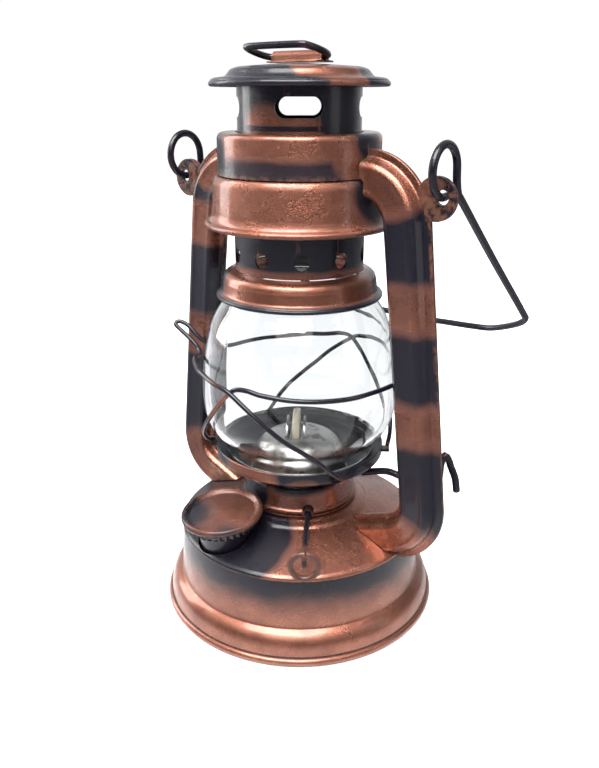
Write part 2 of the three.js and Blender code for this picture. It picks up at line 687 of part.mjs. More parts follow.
// ---- Bail handle ----
function addBail() {
  const { pivotZ, ringR, wireR, back } = BAIL;
  const x = EAR.holeX;
  // Along is measured from the pivot down the arm, across is at right angles to it.
  const at = (px, along, across) =>
    new THREE.Vector3(px, -across, -along).applyAxisAngle(new THREE.Vector3(1, 0, 0), radians(back));
  const eye = arc(0, 0, ringR, ringR, 38, 315, 14).map(([along, across]) => at(x, along, across));
  const arm = [at(x + 0.1, 10.4, -2.6), at(x + 0.2, 14, -0.4), at(x + 0.4, 19, 0), at(66, 106, 0)];
  const corner = [at(65.4, 113, 0), at(61, 119, 0), at(52, 126, 0), at(42, 131.6, 0), at(31, 133.4, 0)];
  const half = [...eye, ...arm, ...corner, at(9, 135.5, 0)];
  const mirrored = half.map((p) => new THREE.Vector3(-p.x, p.y, p.z)).reverse();
  const stations = [...half, at(4, 138.6, 0), at(0, 141.6, 0), at(-4, 138.6, 0), ...mirrored];
  const lifted = stations.map((p) => p.add(new THREE.Vector3(0, 0, pivotZ)));
  piece("bail", wire(wireR, lifted), BLACK_WIRE());
}

addTank();
addFiller();
addBurnerBody();
addBurnerInside();
addWickDrive();
addCarriage();
addLever();
addTubes();
addChamber();
addHood();
addSpring();
addLiftRing();
addBail();

export default lantern;
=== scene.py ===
import math

import bmesh
import bpy
import numpy as np
from mathutils import Matrix, Quaternion, Vector


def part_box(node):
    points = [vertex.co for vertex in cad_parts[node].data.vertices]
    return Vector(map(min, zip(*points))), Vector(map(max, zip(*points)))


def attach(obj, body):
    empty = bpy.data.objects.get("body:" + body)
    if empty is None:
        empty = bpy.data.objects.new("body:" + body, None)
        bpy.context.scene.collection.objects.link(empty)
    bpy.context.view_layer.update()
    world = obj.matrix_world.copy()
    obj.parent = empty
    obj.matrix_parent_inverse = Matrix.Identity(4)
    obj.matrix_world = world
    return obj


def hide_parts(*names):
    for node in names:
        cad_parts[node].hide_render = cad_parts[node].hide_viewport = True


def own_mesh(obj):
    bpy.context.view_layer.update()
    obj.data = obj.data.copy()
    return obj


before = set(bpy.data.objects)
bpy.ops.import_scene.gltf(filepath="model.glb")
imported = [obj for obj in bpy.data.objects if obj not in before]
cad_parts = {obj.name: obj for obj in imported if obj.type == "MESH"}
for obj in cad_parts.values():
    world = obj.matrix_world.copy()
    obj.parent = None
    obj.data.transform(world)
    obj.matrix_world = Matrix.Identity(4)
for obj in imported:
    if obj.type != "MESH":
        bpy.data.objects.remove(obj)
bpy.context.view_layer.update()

bl_info = {
    "name": "Hurricane Lantern",
    "version": (1, 0, 0),
    "blender": (4, 5, 0),
    "location": "View3D > Sidebar > Lantern",
    "description": "Builds a copper and black lacquered hurricane lantern round its packed frame",
    "category": "Object",
}

MM = 0.001  # outlines and routes below are in millimetres


# ---------------------------------------------------------------------------------------------
# Sizes of the lantern, in millimetres, from its frame where a whole node gives them
# ---------------------------------------------------------------------------------------------
def top_of(node):
    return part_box(node)[1].z / MM


def foot_of(node):
    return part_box(node)[0].z / MM


def radius_of(node):
    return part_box(node)[1].x / MM


TANK_BODY = "tank_and_frame"
SHEET = 0.8
SEAM_GAP = 0.3  # between pieces that touch or are soldered
BASE_R = radius_of("fount_body")
TANK_TOP = (53.8, foot_of("fount_shoulder"))
SHOULDER_TOP = (27.3, top_of("fount_shoulder"))
FILLER = {"azimuth": -12, "r": 43.4, "z": 55.2, "lean": 6, "cap_r": 17.6, "neck_r": 12.2}
KNOB = {"azimuth": 35, "side": 5.0, "z": 52.6, "wire_r": 1.2, "reach": 60.0, "ring_r": 5.6}
WICK_SIDE = -1.4
CUP = {"r": 25.9, "z": foot_of("burner_cup"), "top_r": 23.0, "top_z": top_of("burner_cup")}
DOME = {"r": 20.6, "z": foot_of("burner_dome"), "slot": (17.4, 6.6)}
PLATE = {"r": 37.3, "z": top_of("globe_plate"), "bore_r": 21.2}
GLOBE_FOOT_Z = foot_of("globe")
LUG_AZIMUTHS = (-57, 62, 123, 242)
GUARD = {"r": 44.4, "outer_r": 46.9, "wire_r": 1.0, "loop_foot_r": 49.5, "front_reach": 0.55}
BELL = {"r": radius_of("bell"), "z": foot_of("bell"), "neck_r": 26.7, "neck_z": top_of("bell")}
VENTS = {"count": 10, "r": 3.0, "z": 160.6, "first": 40}
CHIMNEY = {"r": 24.3, "window": (17.6, 7.4), "window_z": 216.5, "first": 37.5}
CANOPY = {"r": radius_of("canopy"), "z": foot_of("canopy"), "top_z": top_of("canopy")}
STRAP = {"length": 24.0, "r": 2.3, "z": 234.3}
LIFT_RING = {"wire_r": 1.25, "depth": 15.6, "rise": 13}
CHAMBER = {"top_r": 32.4, "top_z": top_of("air_chamber_upper"), "step_z": top_of("air_chamber_lower"),
           "rim_r": radius_of("air_chamber_lower"), "rim_z": foot_of("air_chamber_lower"), "bore_r": 25.2}
GLOBE_TRAVEL = 5.2  # the chimney's foot comes up by this much before it reaches the spring
SPRING = {"r": 28.0, "wire_r": 0.6, "turns": 3}
TUBE = {"half_width": 10.0, "half_depth": 6.4, "bend": 17.5}
TUBE_LINE = ((27.0, 192.4), (48.5, 192.4), (65.0, 50.1), (26.0, 34.8))
EAR = {"x": 61.8, "z": 186.3, "r": 8.0, "hole_x": 64.3, "hole_z": 187.0, "hole_r": 2.7, "thick": 0.85}
BAIL = {"pivot_z": 196.0, "ring_r": 9.0, "wire_r": 1.5, "back": 50}
LEVER = {"x": 60.5, "z": 66.6, "y": 9.4, "wire_r": 1.5, "eye_r": 2.9}


# ---------------------------------------------------------------------------------------------
# What a user would change
# ---------------------------------------------------------------------------------------------
class LanternFinish(bpy.types.PropertyGroup):
    copper: bpy.props.FloatVectorProperty(
        name="Copper", description="Colour of the copper lacquer in full light",
        subtype="COLOR", default=(0.35, 0.138, 0.088), min=0, max=1)
    copper_deep: bpy.props.FloatVectorProperty(
        name="Deep copper", description="Colour of the copper lacquer where it lies thicker",
        subtype="COLOR", default=(0.2, 0.073, 0.049), min=0, max=1)
    smoke: bpy.props.FloatVectorProperty(
        name="Smoke", description="Colour of the black lacquer sprayed over the copper",
        subtype="COLOR", default=(0.005, 0.0045, 0.009), min=0, max=1)
    grain: bpy.props.FloatProperty(
        name="Grain", description="Size of the wrinkles in the lacquer",
        subtype="DISTANCE", unit="LENGTH", default=0.0007, min=0.0001, max=0.01)
    cotton: bpy.props.FloatVectorProperty(
        name="Cotton", description="Colour of the wick",
        subtype="COLOR", default=(0.9, 0.8, 0.58), min=0, max=1)


class LanternMesh(bpy.types.PropertyGroup):
    around: bpy.props.IntProperty(
        name="Around", description="Steps round a turned piece", default=128, min=24, max=512)
    wire_sides: bpy.props.IntProperty(
        name="Wire sides", description="Sides of a round wire", default=16, min=6, max=64)
    fine_step: bpy.props.FloatProperty(
        name="Wire step", description="Length of one step along a wire",
        subtype="DISTANCE", unit="LENGTH", default=0.0012, min=0.0002, max=0.01)


# ---------------------------------------------------------------------------------------------
# Outlines: lists of (radius, height)
# ---------------------------------------------------------------------------------------------
def arc(r, z, radius, start, end, steps, tall=None):
    tall = radius if tall is None else tall
    angles = np.radians(np.linspace(start, end, steps + 1))
    return [(r + radius * math.cos(a), z + tall * math.sin(a)) for a in angles]


def bezier(a, b, c, steps):
    """Points on the curve from a to c that leaves and arrives towards b."""
    a, b, c = (np.array(p, float) for p in (a, b, c))
    return [tuple((1 - t) ** 2 * a + 2 * t * (1 - t) * b + t * t * c) for t in np.linspace(0, 1, steps + 1)]


def rounded(points, radius, steps=4):
    """The same line with each inner corner rounded."""
    line = [points[0]]
    for before, here, after in zip(points, points[1:], points[2:]):
        here_v = np.array(here, float)
        back, on = np.array(before) - here_v, np.array(after) - here_v
        reach = min(radius, np.linalg.norm(back) * 0.45, np.linalg.norm(on) * 0.45)
        start = here_v + back / np.linalg.norm(back) * reach
        end = here_v + on / np.linalg.norm(on) * reach
        line += bezier(start, here_v, end, steps)
    return line + [points[-1]]


def walled(line, thickness=SHEET):
    """A closed outline for sheet metal: the line, then the same line moved to its left."""
    pts = np.array(line, float)
    runs = np.diff(pts, axis=0)
    keep = np.r_[True, np.linalg.norm(runs, axis=1) > 1e-6]
    pts = pts[keep]
    runs = np.diff(pts, axis=0)
    normals = np.stack([-runs[:, 1], runs[:, 0]], 1) / np.linalg.norm(runs, axis=1)[:, None]
    before, after = np.vstack([normals[:1], normals]), np.vstack([normals, normals[-1:]])
    mitre = before + after
    mitre /= np.linalg.norm(mitre, axis=1)[:, None]
    inner = pts + mitre * (thickness / (mitre * after).sum(1))[:, None]
    inner[:, 0] = np.maximum(inner[:, 0], 0)
    return [tuple(p) for p in pts] + [tuple(p) for p in inner[::-1]]


# ---------------------------------------------------------------------------------------------
# Meshes
# ---------------------------------------------------------------------------------------------
def new_piece(name, verts, faces, sharp=32):
    mesh = bpy.data.meshes.new(name)
    mesh.from_pydata([Vector(v) * MM for v in verts], [], faces)
    mesh.validate()
    obj = bpy.data.objects.new(name, mesh)
    bpy.context.scene.collection.objects.link(obj)
    shade(obj, sharp)
    return obj


def shade(obj, sharp=32):
    """Smooth shading that keeps the edges sharper than this angle."""
    obj.data.shade_smooth()
    obj.data.set_sharp_from_angle(angle=math.radians(sharp))


def with_edge_rings(outline, near=0.7):
    """The outline with a point close to both ends of each long side, so that edge wear stays at the edge."""
    points = [Vector(outline[0])]
    for end in map(Vector, outline[1:]):
        start, way = points[-1], end - points[-1]
        if way.length > 4 * near:
            points += [start + way.normalized() * near, end - way.normalized() * near]
        points.append(end)
    return points


def lathe(name, outline, sharp=32, flute=None, around=None):
    """The closed outline turned about Z. flute(radius, height, azimuth) may move a point in or out."""
    around = around or bpy.context.scene.lantern_mesh.around
    outline = [tuple(point) for point in with_edge_rings(outline)]
    columns = []
    verts = []
    for i in range(around):
        azimuth = 2 * math.pi * i / around
        column = []
        for j, (r, z) in enumerate(outline):
            if r < 1e-6 and i:
                column.append(columns[0][j])
                continue
            wide = flute(r, z, azimuth) if flute else r
            column.append(len(verts))
            verts.append((wide * math.sin(azimuth), -wide * math.cos(azimuth), z))
        columns.append(column)
    faces = []
    count = len(outline)
    for i in range(around):
        here, there = columns[i], columns[(i + 1) % around]
        for j in range(count):
            corners = [here[j], there[j], there[(j + 1) % count], here[(j + 1) % count]]
            corners = list(dict.fromkeys(corners))
            if len(corners) > 2:
                faces.append(corners)
    return outward(new_piece(name, verts, faces, sharp))


def outward(obj):
    """Turns the faces of a closed mesh to point out."""
    bm = bmesh.new()
    bm.from_mesh(obj.data)
    bmesh.ops.recalc_face_normals(bm, faces=bm.faces)
    bm.to_mesh(obj.data)
    bm.free()
    return obj


def spline(points, step=None):
    """A smooth line through the points, sampled at even steps."""
    step = step or bpy.context.scene.lantern_mesh.fine_step / MM
    pts = np.array(points, float)
    ends = np.vstack([2 * pts[0] - pts[1], pts, 2 * pts[-1] - pts[-2]])
    fine = []
    for p0, p1, p2, p3 in zip(ends, ends[1:], ends[2:], ends[3:]):
        for t in np.linspace(0, 1, 24, endpoint=False):
            m1, m2 = (p2 - p0) / 2, (p3 - p1) / 2
            h = (2 * t**3 - 3 * t**2 + 1) * p1 + (t**3 - 2 * t**2 + t) * m1
            fine.append(h + (3 * t**2 - 2 * t**3) * p2 + (t**3 - t**2) * m2)
    fine = np.array(fine + [pts[-1]])
    along = np.r_[0, np.cumsum(np.linalg.norm(np.diff(fine, axis=0), axis=1))]
    even = np.linspace(0, along[-1], max(int(along[-1] / step), 2) + 1)
    return [Vector([np.interp(s, along, fine[:, k]) for k in range(3)]) for s in even]


def sweep(name, section, stations, loop=False, up=None, sharp=32):
    """A closed section carried along the stations. The section's axes keep square to the route."""
    count = len(stations)
    tangents = []
    for i, here in enumerate(stations):
        before = stations[i - 1] if i or loop else here
        after = stations[(i + 1) % count] if i < count - 1 or loop else here
        tangents.append((after - before).normalized())
    side = (up or tangents[0].orthogonal()).normalized()
    verts = []
    for i, here in enumerate(stations):
        if i:
            side = tangents[i - 1].rotation_difference(tangents[i]) @ side
        side = (side - tangents[i] * side.dot(tangents[i])).normalized()
        other = tangents[i].cross(side)
        verts += [here + side * a + other * b for a, b in section]
    faces = []
    size = len(section)
    for i in range(count if loop else count - 1):
        low, high = i * size, ((i + 1) % count) * size
        faces += [(low + j, low + (j + 1) % size, high + (j + 1) % size, high + j) for j in range(size)]
    if not loop:
        faces += [tuple(range(size))[::-1], tuple(range((count - 1) * size, count * size))]
    return outward(new_piece(name, verts, faces, sharp))


def disc(r, sides=None):
    sides = sides or bpy.context.scene.lantern_mesh.wire_sides
    return arc(0, 0, r, 0, 360 - 360 / sides, sides - 1)


def wire(name, r, points, loop=False):
    """A round wire with rounded ends through the points."""
    stations = points if loop else spline(points)
    piece = sweep(name, disc(r), stations, loop)
    if not loop:
        for tip, inward in ((stations[0], stations[1]), (stations[-1], stations[-2])):
            join(piece, [ball(name + "_tip", r, tip, (tip - inward).normalized())])
    return piece


def ball(name, r, centre, out):
    """A half ball that closes a wire's end."""
    outline = [(r * math.cos(a), r * 0.6 * math.sin(a)) for a in np.linspace(0, math.pi / 2, 6)]
    outline[-1] = (0, outline[-1][1])
    cap = lathe(name, [(0, 0)] + outline, around=bpy.context.scene.lantern_mesh.wire_sides)
    turn = Vector((0, 0, 1)).rotation_difference(out).to_matrix().to_4x4()
    cap.data.transform(Matrix.Translation(centre * MM) @ turn)
    return cap


def rod(name, a, b, r, bevel=0.15, sides=32):
    """A round bar with broken edges between two points."""
    a, b = Vector(a), Vector(b)
    length = (b - a).length
    outline = rounded([(0, 0), (r, 0), (r, length), (0, length)], bevel, 2)
    bar = lathe(name, outline, around=sides)
    turn = Vector((0, 0, 1)).rotation_difference((b - a).normalized()).to_matrix().to_4x4()
    bar.data.transform(Matrix.Translation(a * MM) @ turn)
    return bar


def extrude(name, outline, depth, sharp=32):
    """A flat outline in X and Y given a thickness along Z."""
    count = len(outline)
    verts = [(x, y, 0) for x, y in outline] + [(x, y, depth) for x, y in outline]
    faces = [tuple(range(count))[::-1], tuple(range(count, 2 * count))]
    faces += [(j, (j + 1) % count, count + (j + 1) % count, count + j) for j in range(count)]
    return outward(new_piece(name, verts, faces, sharp))


def join(target, others):
    """Adds the other meshes to the target as they stand."""
    bm = bmesh.new()
    bm.from_mesh(target.data)
    for other in others:
        bm.from_mesh(other.data)
        remove(other)
    bm.to_mesh(target.data)
    bm.free()
    shade(target)
    return target


def remove(obj):
    bpy.data.objects.remove(obj, do_unlink=True)


def combine(target, others, operation="DIFFERENCE"):
    """Cuts the other solids from the target, or welds them to it."""
    for other in others:
        modifier = target.modifiers.new("cut", "BOOLEAN")
        modifier.operation = operation
        modifier.solver = "EXACT"
        modifier.object = other
    baked = bpy.data.meshes.new_from_object(target.evaluated_get(bpy.context.evaluated_depsgraph_get()))
    if not len(baked.polygons):
        raise RuntimeError("nothing is left of " + target.name)
    target.modifiers.clear()
    target.data = baked
    for other in others:
        remove(other)
    shade(target)
    return target


def soften(obj, width, segments=2, angle=35):
    """Breaks the sharp edges of a mesh."""
    modifier = obj.modifiers.new("broken_edges", "BEVEL")
    modifier.width = width * MM
    modifier.segments = segments
    modifier.limit_method = "ANGLE"
    modifier.angle_limit = math.radians(angle)
    modifier.harden_normals = False
    return obj


def turned_about(obj, matrix):
    """Moves the vertices, so that the object itself stays at the origin."""
    obj.data.transform(matrix)
    return obj


def at_azimuth(azimuth, r, z):
    """A point at an azimuth from the front (-Y) towards the right tube (+X)."""
    a = math.radians(azimuth)
    return Vector((r * math.sin(a), -r * math.cos(a), z))


# ---------------------------------------------------------------------------------------------
# Finishes
# ---------------------------------------------------------------------------------------------
def new_group(name, inputs, outputs):
    """An empty shader node group. Each input is (name, type, default)."""
    group = bpy.data.node_groups.new(name, "ShaderNodeTree")
    for label, kind, default in inputs:
        socket = group.interface.new_socket(label, in_out="INPUT", socket_type="NodeSocket" + kind)
        socket.default_value = default
    for label, kind in outputs:
        group.interface.new_socket(label, in_out="OUTPUT", socket_type="NodeSocket" + kind)
    return group, Wiring(group)


class Wiring:
    """Adds nodes to a tree. A value that is a socket is linked, any other one is set."""

    def __init__(self, tree):
        self.tree = tree

    def node(self, kind, settings=(), **values):
        made = self.tree.nodes.new(kind)
        for key, value in dict(settings).items():
            setattr(made, key, value)
        for key, value in values.items():
            self.feed(made.inputs[key.replace("_", " ")], value)
        return made

    def feed(self, socket, value):
        if isinstance(value, bpy.types.NodeSocket):
            self.tree.links.new(value, socket)
        else:
            socket.default_value = value

    def math(self, operation, *values, clamp=False):
        made = self.node("ShaderNodeMath", {"operation": operation, "use_clamp": clamp})
        for socket, value in zip(made.inputs, values):
            self.feed(socket, value)
        return made.outputs[0]

    def vector(self, operation, *values, out="Vector"):
        made = self.node("ShaderNodeVectorMath", {"operation": operation})
        for socket, value in zip(made.inputs, values):
            self.feed(socket, value)
        return made.outputs[out]

    def blend(self, share, a, b):
        """Two colours mixed."""
        made = self.node("ShaderNodeMix", {"data_type": "RGBA"})
        for index, value in ((0, share), (6, a), (7, b)):
            self.feed(made.inputs[index], value)
        return made.outputs[2]

    def lerp(self, share, a, b):
        """Two numbers mixed."""
        made = self.node("ShaderNodeMix", {"data_type": "FLOAT"})
        for index, value in ((0, share), (2, a), (3, b)):
            self.feed(made.inputs[index], value)
        return made.outputs[0]

    def step(self, value, low, high, to_low=0.0, to_high=1.0):
        """A soft step between two values."""
        made = self.node("ShaderNodeMapRange", {"interpolation_type": "SMOOTHSTEP"})
        for socket, setting in zip(made.inputs, (value, low, high, to_low, to_high)):
            self.feed(socket, setting)
        return made.outputs[0]

    def noise(self, where, scale, detail=3.0, roughness=0.55, out="Fac"):
        made = self.node("ShaderNodeTexNoise", Vector=where, Scale=scale, Detail=detail, Roughness=roughness)
        return made.outputs[out]

    def millimetres(self):
        """Where a point of the surface is, in the piece's own space, in millimetres."""
        place = self.node("ShaderNodeTexCoord").outputs["Object"]
        return self.vector("MULTIPLY", place, (1 / MM,) * 3)


def spray_and_shade_group():
    """A cloud that brings the mask towards a target round a centre: mostly sprayed lacquer, in a few marks
    painted shade.
    """
    group, w = new_group(
        "Spray and shade cloud",
        [("Mask", "Float", 0.0), ("Target", "Float", 1.0), ("Centre", "Vector", (0, 0, 0)),
         ("Stretch", "Vector", (1, 1, 1)), ("Radius", "Float", 10.0), ("Softness", "Float", 3.0)],
        [("Mask", "Float")])
    given, result = w.node("NodeGroupInput").outputs, w.node("NodeGroupOutput")
    place = w.millimetres()
    offset = w.vector("MULTIPLY", w.vector("SUBTRACT", place, given["Centre"]), given["Stretch"])
    distance = w.vector("LENGTH", offset, out="Value")
    drift = w.math("SUBTRACT", w.noise(place, 0.09, 1.0), 0.5)
    speckle = w.math("SUBTRACT", w.noise(place, 1.7, 2.0), 0.5)
    ragged = w.math("ADD", w.math("MULTIPLY", drift, 0.8), w.math("MULTIPLY", speckle, 0.16))
    edge = w.math("MULTIPLY_ADD", ragged, given["Softness"], distance)
    inside = w.step(edge, w.math("SUBTRACT", given["Radius"], given["Softness"]),
                    w.math("ADD", given["Radius"], given["Softness"]), 1.0, 0.0)
    w.feed(result.inputs["Mask"], w.lerp(inside, given["Mask"], given["Target"]))
    return group


def wrinkle_group():
    """The fine leathery skin of stoved lacquer: its height, and a mask of the furrows."""
    group, w = new_group(
        "Lacquer wrinkle", [("Size", "Float", 0.9)], [("Height", "Float"), ("Furrow", "Float"),
                                                      ("Cloud", "Float")])
    given, result = w.node("NodeGroupInput").outputs, w.node("NodeGroupOutput")
    place = w.millimetres()
    pushed = w.vector("MULTIPLY_ADD", w.noise(place, 0.9, 2.0, out="Color"), (0.9, 0.9, 0.9), place)
    scale = w.math("DIVIDE", 1.0, given["Size"])
    cells = w.node("ShaderNodeTexVoronoi", {"feature": "DISTANCE_TO_EDGE"}, Vector=pushed, Scale=scale)
    furrow = w.step(cells.outputs["Distance"], 0.0, 0.16, 1.0, 0.0)
    fine = w.noise(place, w.math("MULTIPLY", scale, 2.2), 2.0)
    w.feed(result.inputs["Height"], w.math("SUBTRACT", w.math("MULTIPLY", fine, 0.7),
                                           w.math("MULTIPLY", furrow, 0.5)))
    w.feed(result.inputs["Furrow"], furrow)
    w.feed(result.inputs["Cloud"], w.noise(place, 0.07, 4.0, 0.6))
    return group


def wear_group():
    """Where handling has rubbed the lacquer: convex edges, and a few fine scratches."""
    group, w = new_group(
        "Edge wear", [("Amount", "Float", 0.5)], [("Edge", "Float"), ("Scratch", "Float"), ("Dust", "Float")])
    given, result = w.node("NodeGroupInput").outputs, w.node("NodeGroupOutput")
    place = w.millimetres()
    point = w.node("ShaderNodeNewGeometry").outputs["Pointiness"]
    edge = w.step(point, 0.53, 0.62)
    broken = w.step(w.noise(place, 0.35, 4.0, 0.65), 0.38, 0.62)
    w.feed(result.inputs["Edge"], w.math("MULTIPLY", w.math("MULTIPLY", edge, broken), given["Amount"],
                                         clamp=True))
    lines = w.vector("MULTIPLY", place, (0.35, 0.35, 2.6))
    scratch = w.step(w.noise(lines, 1.3, 5.0, 0.75), 0.66, 0.74)
    w.feed(result.inputs["Scratch"], w.math("MULTIPLY", scratch, given["Amount"]))
    w.feed(result.inputs["Dust"], w.step(w.noise(place, 2.6, 2.0, 0.5), 0.64, 0.74))
    return group


def shared(name, build):
    """The node group of that name, built the first time it is asked for."""
    return bpy.data.node_groups.get(name) or build()


def new_material(name):
    material = bpy.data.materials.new(name)
    material.use_nodes = True
    w = Wiring(material.node_tree)
    return material, w, material.node_tree.nodes["Principled BSDF"]


# A mark is one cloud of spray, and in a few places of painted shade: what it brings the black to (0 copper, 1
# black), where, how wide and how soft.
def spot(target, azimuth, r, z, radius, soft=3.0, stretch=(1, 1, 1)):
    return target, tuple(at_azimuth(azimuth, r, z)), stretch, radius, soft


def cloud(target, x, y, z, radius, soft=3.0, stretch=(1, 1, 1)):
    return target, (x, y, z), stretch, radius, soft


def belt(target, z, half, soft=1.5):
    return target, (0, 0, z), (0, 0, 1), half, soft


def colour(values):
    return (*values, 1.0)


LACQUER = {"metallic": 0.9, "specular": 0.36, "coat_roughness": 0.12, "black_coat": 0.25,
           "rubbed": (0.72, 0.34, 0.18, 1), "scratched": (0.16, 0.10, 0.085, 1), "dust": (0.5, 0.47, 0.44, 1)}


def lacquer(name, start, marks=(), roughness=0.3, wrinkle=0.06, wear=0.5, size=1.0, gloss=0.55):
    """Copper lacquer with black lacquer sprayed over it in clouds, worn on its edges; a few clouds are
    painted shade.
    """
    look = bpy.context.scene.lantern_finish
    material, w, surface = new_material(name)
    mask = float(start)
    for target, centre, stretch, radius, soft in marks:
        cloud_node = w.node("ShaderNodeGroup", {"node_tree": shared("Spray and shade cloud", spray_and_shade_group)}, Mask=mask,
                            Target=float(target), Centre=centre, Stretch=stretch, Radius=radius,
                            Softness=soft)
        mask = cloud_node.outputs["Mask"]
    skin = w.node("ShaderNodeGroup", {"node_tree": shared("Lacquer wrinkle", wrinkle_group)},
                  Size=look.grain / MM * size).outputs
    rub = w.node("ShaderNodeGroup", {"node_tree": shared("Edge wear", wear_group)}, Amount=wear).outputs
    cover = w.math("MULTIPLY", mask, w.math("SUBTRACT", 1.0, w.math("MULTIPLY", rub["Edge"], 0.75),
                                            clamp=True))
    depth = w.step(skin["Cloud"], 0.3, 0.8)
    copper = w.blend(depth, colour(look.copper), colour(look.copper_deep))
    copper = w.blend(w.math("MULTIPLY", skin["Furrow"], 0.4), copper,
                     colour([c * 0.45 for c in look.copper_deep]))
    copper = w.blend(w.math("MULTIPLY", rub["Edge"], 0.6), copper, LACQUER["rubbed"])
    smoke = w.blend(w.math("MULTIPLY", rub["Scratch"], 0.35), colour(look.smoke), LACQUER["scratched"])
    tint = w.blend(w.math("MULTIPLY", rub["Dust"], 0.015), w.blend(cover, copper, smoke), LACQUER["dust"])
    w.feed(surface.inputs["Base Color"], tint)
    w.feed(surface.inputs["Metallic"], w.lerp(cover, LACQUER["metallic"], 0.0))
    surface.inputs["Specular IOR Level"].default_value = LACQUER["specular"]
    uneven = w.math("MULTIPLY_ADD", w.math("SUBTRACT", skin["Cloud"], 0.5), 0.22, roughness)
    scuffed = w.math("MULTIPLY_ADD", rub["Scratch"], 0.18, uneven)
    w.feed(surface.inputs["Roughness"], w.math("SUBTRACT", scuffed, w.math("MULTIPLY", cover, 0.06)))
    surface.inputs["Coat Roughness"].default_value = LACQUER["coat_roughness"]
    w.feed(surface.inputs["Coat Weight"], w.lerp(cover, gloss, LACQUER["black_coat"]))
    bump = w.node("ShaderNodeBump", Strength=1.0, Distance=wrinkle * MM, Height=skin["Height"])
    w.feed(surface.inputs["Normal"], bump.outputs["Normal"])
    return material


def black_wire(name="Black lacquered wire", wear=0.3):
    return lacquer(name, 1, roughness=0.3, wrinkle=0.035, wear=wear, size=1.4)


def steel(name="Stained burner steel"):
    """Tinned steel with drawn lines and the brown stains of heat."""
    material, w, surface = new_material(name)
    place = w.millimetres()
    drawn = w.noise(w.vector("MULTIPLY", place, (0.25, 0.25, 3.0)), 1.1, 4.0)
    stain = w.step(w.noise(place, 0.16, 5.0, 0.65), 0.48, 0.68)
    rub = w.node("ShaderNodeGroup", {"node_tree": shared("Edge wear", wear_group)}, Amount=0.7).outputs
    base = w.blend(drawn, (0.36, 0.35, 0.34, 1), (0.55, 0.54, 0.53, 1))
    base = w.blend(w.math("MULTIPLY", stain, 0.75), base, (0.13, 0.095, 0.075, 1))
    w.feed(surface.inputs["Base Color"], w.blend(rub["Edge"], base, (0.74, 0.73, 0.72, 1)))
    surface.inputs["Metallic"].default_value = 0.9
    w.feed(surface.inputs["Roughness"], w.lerp(stain, w.lerp(drawn, 0.24, 0.4), 0.55))
    w.feed(surface.inputs["Normal"], w.node("ShaderNodeBump", Strength=1.0, Distance=0.02 * MM,
                                            Height=drawn).outputs[0])
    return material


def clear_glass():
    """Blown glass: faint waves, and a smear of dust that is left after wiping."""
    material, w, surface = new_material("Blown clear glass")
    place = w.millimetres()
    surface.inputs["Base Color"].default_value = (0.97, 0.985, 0.98, 1)
    surface.inputs["Metallic"].default_value = 0.0
    surface.inputs["Transmission Weight"].default_value = 1.0
    surface.inputs["IOR"].default_value = 1.46
    smear = w.step(w.noise(w.vector("MULTIPLY", place, (1, 1, 0.3)), 0.12, 5.0, 0.6), 0.52, 0.8)
    w.feed(surface.inputs["Roughness"], w.math("MULTIPLY_ADD", smear, 0.05, 0.004))
    wave = w.noise(w.vector("MULTIPLY", place, (1, 1, 0.45)), 0.055, 1.0)
    w.feed(surface.inputs["Normal"], w.node("ShaderNodeBump", Strength=1.0, Distance=0.5 * MM,
                                            Height=wave).outputs[0])
    return material


def cotton():
    """Woven cotton tape: diagonal ribs of warp crossed by weft, a little charred at the top."""
    look = bpy.context.scene.lantern_finish
    material, w, surface = new_material("Woven cotton tape")
    place = w.millimetres()
    turn = w.node("ShaderNodeVectorRotate", {"rotation_type": "Z_AXIS"}, Vector=place,
                  Angle=-math.radians(KNOB["azimuth"] - 90)).outputs[0]
    parts = w.node("ShaderNodeSeparateXYZ", Vector=turn).outputs
    warp = w.math("SINE", w.math("MULTIPLY", parts["X"], 2 * math.pi / 1.1))
    weft = w.math("SINE", w.math("MULTIPLY_ADD", parts["Z"], 2 * math.pi / 0.8,
                                 w.math("MULTIPLY", parts["X"], 1.6)))
    weave = w.math("MULTIPLY_ADD", w.math("MULTIPLY", warp, weft), 0.25, 0.5)
    fibre = w.noise(w.vector("MULTIPLY", place, (3, 3, 1)), 2.2, 3.0)
    pale = w.blend(weave, colour([c * 0.72 for c in look.cotton]), colour(look.cotton))
    pale = w.blend(w.math("MULTIPLY", fibre, 0.25), pale, (0.95, 0.9, 0.78, 1))
    char = w.step(w.math("MULTIPLY_ADD", fibre, 2.0, parts["Z"]), 87.6, 89.2)
    w.feed(surface.inputs["Base Color"], w.blend(w.math("MULTIPLY", char, 0.6), pale, (0.12, 0.09, 0.06, 1)))
    surface.inputs["Roughness"].default_value = 0.92
    surface.inputs["Sheen Weight"].default_value = 0.3
    height = w.math("ADD", weave, w.math("MULTIPLY", fibre, 0.5))
    w.feed(surface.inputs["Normal"], w.node("ShaderNodeBump", Strength=1.0, Distance=0.12 * MM,
                                            Height=height).outputs[0])
    return material


def cork():
    material, w, surface = new_material("Cork")
    place = w.millimetres()
    cells = w.node("ShaderNodeTexVoronoi", Vector=place, Scale=0.9).outputs
    pits = w.step(w.noise(place, 0.8, 4.0), 0.55, 0.65)
    base = w.blend(cells["Distance"], (0.32, 0.19, 0.10, 1), (0.20, 0.11, 0.06, 1))
    w.feed(surface.inputs["Base Color"], w.blend(pits, base, (0.06, 0.035, 0.02, 1)))
    surface.inputs["Roughness"].default_value = 0.9
    w.feed(surface.inputs["Normal"], w.node("ShaderNodeBump", Strength=1.0, Distance=0.2 * MM,
                                            Height=pits).outputs[0])
    return material


def fit(obj, node, body, material):
    """The piece takes the place of its CAD node, moves with its body and gets its finish."""
    obj.data.materials.clear()
    obj.data.materials.append(material)
    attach(obj, body)
    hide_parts(node)
    return obj


